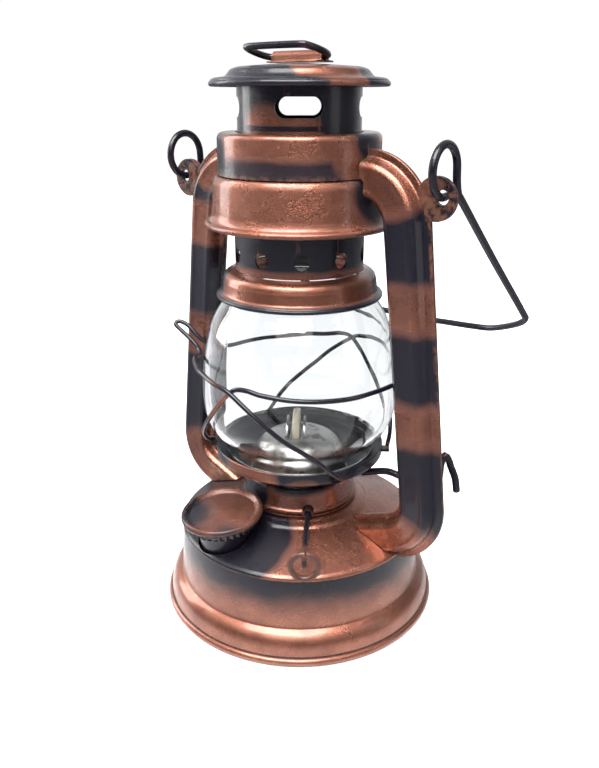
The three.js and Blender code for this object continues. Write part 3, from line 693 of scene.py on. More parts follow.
# ---------------------------------------------------------------------------------------------
# Fuel tank
# ---------------------------------------------------------------------------------------------
def skirt_line():
    bead = arc(BASE_R - 1.9, 1.9, 1.9, -90, 90, 14)
    flare = bezier((BASE_R - 1.7, 4), (BASE_R - 1.9, 11.5), (56.2, 13.8), 18)
    seam = (TANK_TOP[0], TANK_TOP[1] - SEAM_GAP)
    return [(BASE_R - 4.5, 0)] + bead + flare + bezier((55.9, 14.0), (55.4, 14.2), (55.3, 15.4), 5) + [seam]


def shoulder_line():
    r, z = TANK_TOP
    top_r, top_z = SHOULDER_TOP
    corners = [(r + 0.5, z), (r + 0.5, z + 1), (r - 0.6, z + 2), (31, 46.6), (30, 47.6),
               (top_r + 0.4, top_z - 0.6), (top_r - 0.4, top_z), (22, top_z)]
    return rounded(corners, 1.6, 5)


def filler_place():
    azimuth = math.radians(FILLER["azimuth"])
    tilt = Matrix.Rotation(math.radians(FILLER["lean"]), 4, Vector((math.cos(azimuth), math.sin(azimuth), 0)))
    return Matrix.Translation(at_azimuth(FILLER["azimuth"], FILLER["r"], FILLER["z"]) * MM) @ tilt


class LANTERN_OT_tank(bpy.types.Operator):
    """Builds the fuel tank: its wall, its bottom and its shoulder"""
    bl_idname = "lantern.tank"
    bl_label = "Fuel tank"

    def execute(self, context):
        wall_marks = [belt(1, 41, 17, 8), belt(1, 0.3, 0.9, 0.5), belt(0.9, 4.1, 0.4, 0.3)]
        wall = lathe("tank_wall", walled(skirt_line()))
        fit(wall, "fount_body", TANK_BODY, lacquer("Tank lacquer", 0, wall_marks))
        pan = [(0, 0.4), (18, 0.4), (19.2, 1.5), (22.8, 1.5), (24, 0.4), (50, 0.4), (51.5, 1.2), (57.7, 1.2)]
        bottom = lathe("tank_bottom", walled(rounded(pan, 0.8, 3)))
        fit(bottom, "fount_bottom", TANK_BODY, lacquer("Pan lacquer", 0, roughness=0.45))
        shoulder = lathe("tank_shoulder", walled(shoulder_line()))
        mouth = lathe("mouth", [(0, -24), (FILLER["neck_r"] - 0.6, -24), (FILLER["neck_r"] + 0.5, -3.6),
                                (0, -3.6)])
        turned_about(mouth, filler_place())
        marks = [spot(1, -6, 42, 42, 28, 3.5), spot(1, -80, 42, 42, 26, 6), spot(1, 200, 45, 42, 24, 6),
                 spot(0.3, 40, 46, 40, 8, 3)]
        combine(shoulder, [mouth])
        fit(shoulder, "fount_shoulder", TANK_BODY,
            lacquer("Shoulder lacquer", 0, marks, 0.27))
        return {"FINISHED"}


class LANTERN_OT_filler(bpy.types.Operator):
    """Builds the filler: its neck, the seal and the screw cap"""
    bl_idname = "lantern.filler"
    bl_label = "Filler and cap"

    def execute(self, context):
        cap_r, neck_r = FILLER["cap_r"], FILLER["neck_r"]
        neck = walled([(neck_r - 1.6, -19), (neck_r - 0.45, -8)] + [
            (neck_r - 0.35 + 0.2 * math.cos(z * 3.6), z) for z in np.linspace(-7.6, -3.6, 24)], 1)
        piece = turned_about(lathe("filler_pipe", neck), filler_place())
        fit(piece, "filler_neck", TANK_BODY, lacquer("Neck lacquer", 1, wear=0.7))
        seal = rounded([(6.2, -3.3), (neck_r + 0.4, -3.3), (neck_r + 0.4, -2.3), (6.2, -2.3), (6.2, -3.2)],
                       0.2, 2)
        piece = turned_about(lathe("cork_seal", seal), filler_place())
        fit(piece, "cap_seal", "seal", cork())
        rim = arc(cap_r - 1.25, -1.5, 1.25, -65, 115, 14, 1.5)
        line = ([(neck_r + 0.9, -6.2)] + rounded([(neck_r + 1.2, -6.2), (neck_r + 3.2, -6.1),
                                                  (neck_r + 3.3, -3.3), (
            cap_r - 1.6, -3.0), rim[0]], 0.5, 3) + rim[1:] + rounded(
                [rim[-1], (cap_r - 2.4, -0.9), (cap_r - 3.4, -1.7), (cap_r - 4.6, -1.5), (0, -0.8)], 0.8, 4)
                + [(0, -2), (neck_r + 0.9, -2)])

        def teeth(r, z, azimuth):
            if r > neck_r + 2.9 and z < -3.35 and r < cap_r - 1.5:
                return r - 0.75 * (0.5 + 0.5 * math.cos(34 * azimuth)) ** 0.7
            return r

        piece = turned_about(lathe("screw_cap", line, flute=teeth, around=272), filler_place())
        place = at_azimuth(FILLER["azimuth"], FILLER["r"], FILLER["z"])
        # The first cloud blackens a belt over the knurled ring: partly black lacquer, partly painted shade in
        # the knurling.
        marks = [cloud(1, place.x, place.y, place.z - 6.6, 3.4, 0.6, (0, 0, 1)),
                 cloud(1, place.x - 14, place.y - 9, place.z, 13, 6),
                 cloud(0.9, place.x + 12, place.y - 10, place.z, 6, 4),
                 cloud(0.1, place.x + 4, place.y + 4, place.z, 7, 5)]
        fit(piece, "filler_cap", "cap",
            lacquer("Cap lacquer", 0.4, marks, 0.3, wrinkle=0.09, wear=0.3))
        return {"FINISHED"}


# ---------------------------------------------------------------------------------------------
# Burner
# ---------------------------------------------------------------------------------------------
def burner_turn():
    """The burner's x axis is the direction of the knob's shaft."""
    return Matrix.Rotation(math.radians(KNOB["azimuth"] - 90), 4, "Z")


def block(name, x, y, z, width, depth, height, corner=0.0):
    """A bar of rectangular section along Z in the burner's frame, with its corners rounded."""
    w, d = width / 2, depth / 2
    c = max(corner, 0.02)
    outline = []
    for cx, cy, start in ((w - c, d - c, 0), (c - w, d - c, 90), (c - w, c - d, 180), (w - c, c - d, 270)):
        outline += arc(cx, cy, c, start, start + 90, 5)
    piece = extrude(name, [(px + x, py + y) for px, py in outline], height)
    piece.data.transform(Matrix.Translation((0, 0, z * MM)))
    return turned_about(piece, burner_turn())


class LANTERN_OT_burner(bpy.types.Operator):
    """Builds the burner: its collar, plate, cup, dome and wick tube"""
    bl_idname = "lantern.burner"
    bl_label = "Burner"

    def execute(self, context):
        collar = rounded([(20.2, 43), (21.6, 43), (21.6, 49.5), (25.6, 49.5), (25.6, 50.3), (20.2, 50.3),
                          (20.2, 43.1)],
                         0.3, 2)
        fit(lathe("burner_socket", collar), "burner_collar", TANK_BODY,
            lacquer("Socket lacquer", 0))
        side = WICK_SIDE
        plate = lathe("draught_plate", [(0, 46.2), (19.8, 46.2), (19.8, 47), (0, 47)])
        combine(plate, [block("hole", 0, side, 40, 17.8, 6.4, 20)])
        grey = steel()
        fit(plate, "burner_plate", TANK_BODY, grey)
        r, z, top_r, top_z = CUP["r"], CUP["z"], CUP["top_r"], CUP["top_z"]
        lip = arc(r - 1.1, z + 1.1, 1.1, -90, 40, 8)
        cup = lathe("burner_gallery", walled(lip + rounded(
            [(r - 0.9, z + 2.4), (top_r + 1.2, top_z - 1.2), (top_r, top_z), (9.9, top_z)], 1.0, 5)))
        keyhole = rod("keyhole", (18, KNOB["side"], KNOB["z"]), (30, KNOB["side"], KNOB["z"]), 2.45)
        combine(cup, [turned_about(keyhole, burner_turn())])
        marks = [spot(1, -24, 25, 57, 13, 3), spot(1, -80, 25, 57, 20, 4),
                 spot(1, 38, 24, 62, 3, 1.5, (0.2, 0.2, 1))]
        fit(cup, "burner_cup", TANK_BODY, lacquer("Gallery lacquer", 0, marks, 0.28))
        r, z = DOME["r"], DOME["z"]
        crown = [(r, z), (r, z + 3.5), (r - 1.2, z + 10)] + arc(0, 72.5, 18.6, 25, 90, 20, 7.5)
        dome = lathe("flame_dome", walled(rounded(crown[:4], 1.5, 4)[:-1] + crown[3:], 0.6))
        combine(dome, [block("slot", 0, side, 70, *DOME["slot"], 20, 1.0)])
        half = arc(0, 0, 8, 0, 180, 28)
        lips = []
        for turn in (-1, 1):
            lip_piece = extrude("lip", half, 0.8)
            lip_piece.data.transform(Matrix.Translation(Vector((0, side + turn * 3.8 + 0.4, 78.2)) * MM)
                                     @ Matrix.Rotation(math.pi / 2, 4, "X"))
            lips.append(turned_about(lip_piece, burner_turn()))
        combine(dome, lips, "UNION")
        fit(dome, "burner_dome", TANK_BODY, grey)
        tube = block("wick_guide", 0, side, 39, 17, 5.6, 39, 1.2)
        windows = [block("window", x, side + 3, KNOB["z"] - 3.5, 2.2, 3, 7) for x in (-4.5, 4.5)]
        combine(tube, [block("bore", 0, side, 30, 15.4, 4.2, 60, 0.9)] + windows)
        fit(tube, "wick_tube", TANK_BODY, grey)
        return {"FINISHED"}


class LANTERN_OT_wick(bpy.types.Operator):
    """Builds the flat wick, with its woven ribs and a soft cut end"""
    bl_idname = "lantern.wick"
    bl_label = "Wick"

    def execute(self, context):
        low, high = foot_of("wick"), top_of("wick")
        across = bezier((-6.9, 0), (-6.9, 1.62), (-6.0, 1.62), 3) + [
            (x, 1.62 - 0.16 * (0.5 + 0.5 * math.cos(2 * math.pi * x / 1.1))) for x in np.linspace(-5.8, 5.8,
                    85)
        ] + bezier((6.0, 1.62), (6.9, 1.62), (6.9, 0), 3)
        outline = across + [(-x, -y) for x, y in across[1:-1]]
        levels = np.linspace(low, high - 0.5, 170)
        verts = [(x * (1 - 0.012 * math.cos(z * 8)), WICK_SIDE + y * (1 - 0.04 * math.cos(z * 8)), z)
                 for z in levels for x, y in outline]
        size = len(outline)
        faces = [(i * size + j, i * size + (j + 1) % size, (i + 1) * size + (j + 1) % size,
                  (i + 1) * size + j)
                 for i in range(len(levels) - 1) for j in range(size)]
        top = len(verts)
        verts += [(x * 0.9, WICK_SIDE + y * 0.6, high - 0.06 - 0.05 * math.sin(x * 5)) for x, y in outline]
        last = (len(levels) - 1) * size
        faces += [(last + j, last + (j + 1) % size, top + (j + 1) % size, top + j) for j in range(size)]
        faces += [tuple(range(size))[::-1], tuple(range(top, top + size))]
        piece = turned_about(outward(new_piece("wick_tape", verts, faces, 50)), burner_turn())
        fit(piece, "wick", "wick_strip", cotton())
        return {"FINISHED"}


class LANTERN_OT_wick_drive(bpy.types.Operator):
    """Builds the wick knob with its shaft, its sleeve and the two toothed wheels"""
    bl_idname = "lantern.wick_drive"
    bl_label = "Wick drive"

    def execute(self, context):
        side, z, r, reach = KNOB["side"], KNOB["z"], KNOB["wire_r"], KNOB["reach"]
        bore = [(1.55, 21.2), (2.1, 21.2), (2.1, 28), (1.55, 28)]
        sleeve = lathe("knob_sleeve_tube", bore, around=32)
        sleeve.data.transform(Matrix.Translation(Vector((0, side, z)) * MM) @ Matrix.Rotation(math.pi / 2,
                4, "Y"))
        turned_about(sleeve, burner_turn())
        fit(sleeve, "knob_sleeve", TANK_BODY, lacquer("Sleeve lacquer", 1))
        drop = r - 0.2 - KNOB["ring_r"]
        loop = [Vector((reach, side + y, z + dz)) for y, dz in arc(0, drop, KNOB["ring_r"], 90, 440, 44)]
        shaft = rod("wick_knob_wire", (-8, side, z), (reach + 0.6, side, z), r, 0.3, 20)
        tongue = rod("tongue", (reach, side, z + 0.6), (reach, side, z + drop), r * 0.8, 0.3, 16)
        knob = join(shaft, [wire("finger_ring", r, loop), tongue])
        turned_about(knob, burner_turn())
        tip = burner_turn() @ Vector((reach, side, z + drop))
        marks = [cloud(0.7, tip.x, tip.y, tip.z, 8.5, 1.5), cloud(1, tip.x, tip.y, tip.z, 3.4, 0.8)]
        fit(knob, "wick_knob", "knob", lacquer("Knob lacquer", 1, marks, wear=0.6))
        toothed = steel("Wheel steel")
        for index, x in enumerate((-4.5, 4.5), 1):
            points = []
            for step in range(80):
                tooth = 0.5 + 0.5 * math.cos(2 * math.pi * step / 8)
                a = 2 * math.pi * step / 80
                points.append(((4.4 - 0.8 * tooth ** 2) * math.cos(a),
                               (4.4 - 0.8 * tooth ** 2) * math.sin(a)))
            wheel = extrude("feed_wheel_%d" % index, points, 0.8)
            hole = rod("hole", (0, 0, -1), (0, 0, 2), r + SEAM_GAP, sides=24)
            combine(wheel, [hole])
            wheel.data.transform(burner_turn() @ Matrix.Translation(Vector((x - 0.4, side, z)) * MM)
                                 @ Matrix.Rotation(math.pi / 2, 4, "Y"))
            fit(wheel, "wick_wheel_%d" % index, "knob", toothed)
        return {"FINISHED"}


# ---------------------------------------------------------------------------------------------
# Globe carriage
# ---------------------------------------------------------------------------------------------
class LANTERN_OT_globe_plate(bpy.types.Operator):
    """Builds the round plate that carries the globe, with its four lugs"""
    bl_idname = "lantern.globe_plate"
    bl_label = "Globe plate"

    def execute(self, context):
        r, z, bore = PLATE["r"], PLATE["z"], PLATE["bore_r"]
        seat = GLOBE_FOOT_Z - SEAM_GAP
        outline = rounded(
            [(bore, 65.0), (bore, 64.4), (24.8, 64.4), (35.4, 69.8), (r - 0.2, 71.0), (r, 72.2),
             (r, z - 0.5), (r - 0.4, z),
             (r - 0.9, z - 0.2), (r - 0.9, seat), (30.2, seat), (30.2, 69), (24.2, 65.8), (bore, 65.8),
             (bore, 65.1)], 0.7, 4)
        plate = lathe("globe_gallery", outline)
        lugs = []
        for azimuth in LUG_AZIMUTHS:
            lug = extrude("lug", [(-2.2, -r - 3.2), (2.2, -r - 3.2), (2.2, 0.8 - r), (-2.2, 0.8 - r)], 1.2)
            lug.data.transform(Matrix.Rotation(math.radians(azimuth), 4,
                                               "Z") @ Matrix.Translation((0, 0, 71.3 * MM)))
            lugs.append(lug)
        combine(plate, lugs, "UNION")
        soften(plate, 0.12)
        marks = [spot(0, 2, 36, 68, 13, 4), spot(0, 40, 32, 66, 8, 3)]
        fit(plate, "globe_plate", "globe_carriage",
            lacquer("Plate lacquer", 1, marks, 0.26))
        return {"FINISHED"}


class LANTERN_OT_globe(bpy.types.Operator):
    """Builds the bulging glass globe, with ground and rounded ends"""
    bl_idname = "lantern.globe"
    bl_label = "Globe"

    def execute(self, context):
        points = [(33.2, GLOBE_FOOT_Z + 0.6), (33.2, 76), (34.4, 79), (38, 83.4), (40.6, 88.2),
                  (41.9, 93.5), (42.4, 102),
                  (41.6, 113), (39.3, 126), (36.6, 134), (33.0, 140), (30.8, 144.4), (30.3, 147.2)]
        line = [(p.x, p.z) for p in spline([(r, 0, z) for r, z in points], 0.9)]
        outer = np.array(line)
        both = walled(line, 1.8)
        inner = both[len(both) // 2:]
        foot = arc(line[0][0] - 0.9, GLOBE_FOOT_Z + 0.6, 0.9, 180, 360, 8, 0.6)
        lip = arc(line[-1][0] - 0.9, 147.2, 0.9, 0, 180, 8, 0.8)
        outline = foot[1:-1] + [tuple(p) for p in outer] + lip[1:-1] + inner
        piece = lathe("glass_globe", outline, sharp=80, around=160)
        fit(piece, "globe", "globe_carriage", clear_glass())
        return {"FINISHED"}


GUARD_ROUTE = [
    (-57, 39.6, 73.9), (-47, 41.4, 77.5), (-37, 43, 84), (-22, 44.2, 93.6), (-9.5, GUARD["r"], 103.8),
    (-2, GUARD["r"], 109.8), (3.8, GUARD["r"], 113.1), (11, GUARD["r"], 113.7), (19, GUARD["r"], 112.7),
    (34.6, GUARD["r"], 111.5), (50, GUARD["r"], 110.9), (66, GUARD["r"], 110.6), (83, GUARD["r"], 110.6),
    (92, 46, 111.2), (97.5, 49.5, 112.4), (99.6, 54, 116), (99.6, 59, 120.3), (100.3, 63.2, 121.9),
               (101.8, 64.6, 121),
    (102.8, 61.5, 119.2), (104, 56, 116.2), (105.5, 51, 112.9), (109, 47.6, 111.4), (116, 45.7, 111.8),
    (128, 45.5, 113.4), (150, 45.6, 115.2), (161, 46, 114.9), (172, GUARD["outer_r"], 114),
    (181.2, GUARD["outer_r"], 112.6), (189.5, GUARD["outer_r"], 108.5), (198, GUARD["outer_r"], 103.3),
    (209.7, 45.8, 95.2), (225, 43.2, 86), (236, 40.8, 78), (242, 39.6, 73.9)]


class LANTERN_OT_guard(bpy.types.Operator):
    """Builds the two guard wires round the globe"""
    bl_idname = "lantern.guard"
    bl_label = "Guard wires"

    def execute(self, context):
        paint = lacquer("Guard wire lacquer", 1, [spot(0, 15, 44, 92, 8, 3), spot(0, -10, 44, 104, 9, 4)],
                        wrinkle=0.03, wear=0.9)
        foot_r = GUARD["loop_foot_r"]
        for name, node, turn, reach in (("globe_guard_1", "guard_wire_front", 0, GUARD["front_reach"]),
                                        ("globe_guard_2", "guard_wire_rear", 180, 1.0)):
            route = [at_azimuth(azimuth + turn, r if r < foot_r else foot_r + (r - foot_r) * reach, z)
                     for azimuth, r, z in GUARD_ROUTE]
            fit(wire(name, GUARD["wire_r"], route), node, "globe_carriage", paint)
        return {"FINISHED"}


# ---------------------------------------------------------------------------------------------
# Lift lever
# ---------------------------------------------------------------------------------------------
class LANTERN_OT_lever(bpy.types.Operator):
    """Builds the lever that lifts the globe, and the pin it rocks on"""
    bl_idname = "lantern.lever"
    bl_label = "Lift lever"

    def execute(self, context):
        x, y, z, r, eye_r = (LEVER[key] for key in ("x", "y", "z", "wire_r", "eye_r"))
        arm = [(30.5, 6, 65.4), (36, 8.3, 66.8), (42, y, 68), (50, y, 67.4), (x - eye_r, y, z + 0.4)]
        tail = [(x + eye_r, y, z), (65.8, y, 72), (66, y + 0.6, 79), (66.7, y + 2, 82.6),
                (67.7, y + 3.6, 80.4),
                (68.8, y + 4.2, 77), (71, y + 4.3, 72.4), (72, y + 4.4, 67)]
        eye = [Vector((x + dx, y, z + dz)) for dx, dz in arc(0, 0, eye_r, 0, 350, 35)]
        lever = wire("lift_lever_wire", r, arm)
        join(lever, [wire("tail", r, tail), wire("eye", r, eye, loop=True)])
        fit(lever, "lift_lever", "lever", black_wire())
        base = TUBE["half_depth"] + SEAM_GAP
        pin = rod("lever_rivet", (x, base, z), (x, y + 2.4, z), 1.1)
        foot = extrude("foot", [(-3.5, -4), (3.5, -4), (3.5, 4), (-3.5, 4)], 0.9)
        foot.data.transform(Matrix.Translation(Vector((x, base + 0.9,
                                                       z)) * MM) @ Matrix.Rotation(math.pi / 2, 4, "X"))
        combine(pin, [foot, rod("head", (x, y + 2, z), (x, y + 2.9, z), 2.4, 0.35)], "UNION")
        fit(pin, "lever_pin", TANK_BODY, lacquer("Rivet lacquer", 1, wear=0.9))
        return {"FINISHED"}


# ---------------------------------------------------------------------------------------------
# Side tubes
# ---------------------------------------------------------------------------------------------
def tube_route(steps=26):
    """The centre line from the air chamber out, down the leg and back in to the tank."""
    corners = [Vector((x, 0, z)) for x, z in TUBE_LINE]
    route = [corners[0]]
    for a, b, c in zip(corners, corners[1:], corners[2:]):
        back, on = (a - b).normalized(), (c - b).normalized()
        half = back.angle(on) / 2
        centre = b + (back + on).normalized() * (TUBE["bend"] / math.sin(half))
        start = b + back * (TUBE["bend"] / math.tan(half)) - centre
        finish = b + on * (TUBE["bend"] / math.tan(half)) - centre
        turn = Quaternion(start.cross(finish), math.pi - 2 * half)
        for i in range(steps + 1):
            route.append(centre + Quaternion(turn.axis, turn.angle * i / steps) @ start)
    return route + [corners[-1]]


def tube_section():
    """Half of the section, from the outer flange over the face to the inner flange: (outwards, depth)."""
    w, d, gap = TUBE["half_width"], TUBE["half_depth"], SEAM_GAP / 2
    face = rounded([(w, gap), (w, 1.0), (w - 2.9, 1.0), (w - 4.3, d - 1.2), (w - 6.2, d), (w - 8.2, d - 0.35),
                    (6.2 - w, d - 0.35), (4.2 - w, d), (2.6 - w, d - 1.8), (1.9 - w, 1.0), (-w, 1.0),
                    (-w, gap)], 0.9, 4)
    back = rounded([(-w, gap), (3 - w, gap), (4.2 - w, d - 1.4), (w - 6.8, d - 1.3), (w - 4.2, gap),
                    (w, gap)], 0.6, 2)
    return face + back[1:-1]


def half_tube(name, side):
    """One stamping of the right tube. side is -1 for the front one and 1 for the rear one."""
    outline = [(out, -side * depth) for out, depth in tube_section()]
    tube = sweep(name, outline, tube_route(), up=Vector((0, 0, 1)))
    tab = extrude("ear", [(EAR["x"] + dx, EAR["z"] + dz) for dx, dz in arc(0, 0, EAR["r"], 0, 355, 71)],
                  EAR["thick"])
    low = 1.0 if side > 0 else -SEAM_GAP / 2
    tab.data.transform(Matrix.Translation((0, low * MM, 0)) @ Matrix.Rotation(math.pi / 2, 4, "X"))
    combine(tube, [tab], "UNION")
    hole = rod("hole", (EAR["hole_x"], -30, EAR["hole_z"]), (EAR["hole_x"], 30, EAR["hole_z"]), EAR["hole_r"])
    combine(tube, [hole, tank_space(), chamber_space()])
    return soften(tube, 0.1, 2, 40)


def tank_space():
    grown = [(r + SEAM_GAP, z) for r, z in skirt_line()] + [(r + SEAM_GAP, z + SEAM_GAP) for r,
                                                            z in shoulder_line()]
    return lathe("tank_space", [(0, 0)] + grown + [(0, SHOULDER_TOP[1] + SEAM_GAP)])


def chamber_space():
    step = CHAMBER["step_z"]
    return lathe("chamber_space", [
        (0, 168), (CHAMBER["rim_r"] + SEAM_GAP, CHAMBER["rim_z"]), (36.4, 175), (35.7, 176.4),
                                   (34.9, step - 0.6),
        (34.2, step + SEAM_GAP), (33.1, step + 0.6), (CHAMBER["top_r"] + SEAM_GAP, CHAMBER["top_z"]),
                                   (0, CHAMBER["top_z"])])


class LANTERN_OT_tubes(bpy.types.Operator):
    """Builds the two side tubes, each of a front and a rear stamping"""
    bl_idname = "lantern.tubes"
    bl_label = "Side tubes"

    def execute(self, context):
        right = [cloud(0, 46, -6, 193, 14, 4), cloud(0, 54, 0, 145, 8.5, 4, (0.2, 0.2, 1)),
                 cloud(0, 60, 0, 99, 8, 4.5, (0.2, 0.2, 1)), cloud(0, 56, 0, 44, 15, 4),
                 cloud(0, 44, 0, 41, 13, 4)]
        left = [cloud(0, -44, -4, 192, 9, 3), cloud(0, -50, 0, 168, 9, 3, (0.3, 0.3, 1)),
                cloud(0, -60, 0, 116, 9, 4, (0.3, 0.3, 1)), cloud(0, -56, 0, 46, 20, 5),
                cloud(0, -42, 0, 42, 16, 4)]
        paint = {"right": lacquer("Right tube lacquer", 1, right, 0.26),
                 "left": lacquer("Left tube lacquer", 1, left, 0.26)}
        for side, facing in ((-1, "front"), (1, "rear")):
            fit(half_tube("right_tube_%s_stamping" % facing, side), "right_tube_" + facing, TANK_BODY,
                paint["right"])
        for side, facing in ((1, "front"), (-1, "rear")):
            piece = turned_about(half_tube("left_tube_%s_stamping" % facing, side),
                                 Matrix.Rotation(math.pi, 4, "Z"))
            fit(piece, "left_tube_" + facing, TANK_BODY, paint["left"])
        return {"FINISHED"}


# ---------------------------------------------------------------------------------------------
# Air chamber
# ---------------------------------------------------------------------------------------------
class LANTERN_OT_chamber(bpy.types.Operator):
    """Builds the air chamber: its upper and lower shells and its floor"""
    bl_idname = "lantern.chamber"
    bl_label = "Air chamber"

    def execute(self, context):
        top_r, top_z, step, rim_r, rim_z = (CHAMBER[key] for key in ("top_r", "top_z", "step_z", "rim_r",
                "rim_z"))

        def port():
            return rod("port", (-60, 0, TUBE_LINE[0][1]), (60, 0, TUBE_LINE[0][1]), 5)

        upper = [(32.8, step + SEAM_GAP), (32.5, step + 3)] + arc(top_r - 2.2, top_z - 2.2, 2.2, 0, 90,
                12) + [
            (28, top_z), (CHAMBER["bore_r"], top_z)]
        piece = combine(lathe("chamber_upper_shell", walled(upper)), [port()])
        # The black spot at azimuth 92 is painted shade that dims the upper right of the shell beside the
        # right tube.
        marks = [belt(0.97, 192.0, 7.0, 2.4), spot(0, 74, 33, 200, 7, 3), spot(1, -42, 33, 200, 12, 3.5),
                 spot(1, 92, 33, 205, 9, 3), spot(1, 215, 33, 200, 22, 5)]
        fit(piece, "air_chamber_upper", TANK_BODY,
            lacquer("Upper chamber lacquer", 0, marks, 0.28, 0.09))
        lower = arc(rim_r - 1.1, rim_z + 1.1, 1.1, -90, 60, 8) + bezier(
            (rim_r - 0.9, rim_z + 2.3), (36, 174), (35.5, 176.5), 8) + rounded(
                [(35.4, 177), (34.7, 189), (33.6, step - 0.3), (31.6, step)], 1.6, 6)
        piece = combine(lathe("chamber_lower_shell", walled(lower)), [port()])
        marks = [spot(1, -48, 37, 184, 7, 3), spot(1, 92, 36, 187, 13, 4), spot(1, 225, 36, 184, 20, 5)]
        fit(piece, "air_chamber_lower", TANK_BODY,
            lacquer("Lower chamber lacquer", 0, marks, 0.28, 0.11))
        floor = rounded([(27.4, 175.7), (27.4, 175.6), (34.2, 175.6), (34.2, 176.4), (27.4, 176.4),
                         (27.4, 175.8)], 0.2, 2)
        fit(lathe("chamber_floor_ring", floor), "air_chamber_floor", TANK_BODY,
            lacquer("Floor lacquer", 1))
        return {"FINISHED"}


# ---------------------------------------------------------------------------------------------
# Hood
# ---------------------------------------------------------------------------------------------
class LANTERN_OT_hood(bpy.types.Operator):
    """Builds the hood: the bell, the perforated collar, the chimney and the canopy"""
    bl_idname = "lantern.hood"
    bl_label = "Hood"

    def execute(self, context):
        r, z, neck_r, neck_z = BELL["r"], BELL["z"], BELL["neck_r"], BELL["neck_z"]
        bell = arc(r - 0.9, z + 0.9, 0.9, -90, 80, 9) + rounded(
            [(r - 0.9, z + 2.0), (32.6, 145.2), (32.1, 148.6), (32.0, 149.6)], 0.8, 4) + arc(
                28.2, 149.8, 3.6, 5, 80, 12, 3.6) + [(neck_r + 0.5, neck_z - 0.15), (neck_r, neck_z)]
        marks = [belt(1, z, 2.4, 0.7), spot(1, -48, 34, 148, 9, 3), spot(1, 118, 34, 148, 9, 3),
                 spot(1, 220, 34, 148, 16, 4)]
        fit(lathe("hood_bell", walled(bell)), "bell", "hood",
            lacquer("Bell lacquer", 0, marks, 0.3))
        wall_r = radius_of("perforated_collar")
        band = lathe("vented_collar", [(wall_r - SHEET, neck_z + SEAM_GAP), (wall_r, neck_z + SEAM_GAP),
                                       (wall_r, top_of("perforated_collar")),
                                       (wall_r - SHEET, top_of("perforated_collar"))])
        drills = []
        for index in range(VENTS["count"]):
            azimuth = VENTS["first"] + 360 / VENTS["count"] * index
            drills.append(rod("drill", at_azimuth(azimuth, 20, VENTS["z"]),
                              at_azimuth(azimuth, 30, VENTS["z"]), VENTS["r"]))
        combine(band, drills)
        soften(band, 0.14)
        marks = [belt(0, 153.6, 2.6, 1.8)]
        fit(band, "perforated_collar", "hood",
            lacquer("Collar lacquer", 1, marks, 0.28, wear=0.2))
        self.chimney()
        self.canopy()
        return {"FINISHED"}

    def chimney(self):
        r, low, high = CHIMNEY["r"], foot_of("chimney"), top_of("chimney")
        foot_r = radius_of("chimney")
        outline = rounded([(r - SHEET, low), (foot_r, low), (foot_r, low + SHEET), (r, low + SHEET),
                           (r, high),
                           (r - SHEET, high), (r - SHEET, low + 0.1)], 0.35, 2)
        piece = lathe("chimney_pipe", outline)
        width, height = CHIMNEY["window"]
        straight = (width - height) / 2
        stadium = arc(straight, 0, height / 2, -90, 90, 20) + arc(-straight, 0, height / 2, 90, 270, 20)
        slots = []
        for quarter in range(4):
            slot = extrude("slot", stadium, 20)
            slot.data.transform(Matrix.Rotation(math.radians(CHIMNEY["first"] + 90 * quarter), 4, "Z")
                                @ Matrix.Translation(Vector((0, -14, CHIMNEY["window_z"])) * MM)
                                @ Matrix.Rotation(math.pi / 2, 4, "X"))
            slots.append(slot)
        combine(piece, slots)
        soften(piece, 0.14)
        # The black belt at height 209.2 is a painted shadow ring where the chimney goes into the upper
        # chamber.
        marks = [spot(0, 5, 24, 207, 9, 4), spot(0, 40, 24, 206, 7, 3), belt(1, 209.2, 1.1, 0.5)]
        fit(piece, "chimney", "hood", lacquer("Chimney lacquer", 1, marks, 0.26, wear=0.3))

    def canopy(self):
        r, z, top = CANOPY["r"], CANOPY["z"], CANOPY["top_z"]
        line = arc(r - 1.1, z + 1.1, 1.1, -90, 75, 10) + rounded(
            [(r - 0.9, z + 2.5), (33, 226.8), (28.7, 227.3), (27.7, 228.3), (26.6, 229.8), (24.2, 230.7),
             (14, top - 0.45),
             (5, top), (0, top)], 1.6, 5)
        marks = [spot(0, 62, 22, 229, 13, 1.6), spot(0, 70, 32, 223, 8, 1.6)]
        piece = lathe("canopy_cap", walled(line))
        fit(piece, "canopy", "hood", lacquer("Canopy lacquer", 1, marks, 0.3))


class LANTERN_OT_spring(bpy.types.Operator):
    """Builds the spring that holds the hood down on the globe"""
    bl_idname = "lantern.spring"
    bl_label = "Hood spring"

    def execute(self, context):
        r, thick, turns = SPRING["r"], SPRING["wire_r"], SPRING["turns"]
        low = foot_of("chimney") + SHEET + thick + SEAM_GAP + GLOBE_TRAVEL
        high = CHAMBER["top_z"] - SHEET - thick - SEAM_GAP
        steps = turns * 60
        helix = [at_azimuth(360 * turns * i / steps, r,
                            low + (high - low) * i / steps) for i in range(steps + 1)]
        piece = wire("pressure_spring", thick, helix)
        fit(piece, "hood_spring", TANK_BODY, steel("Spring steel"))
        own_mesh(piece)
        return {"FINISHED"}


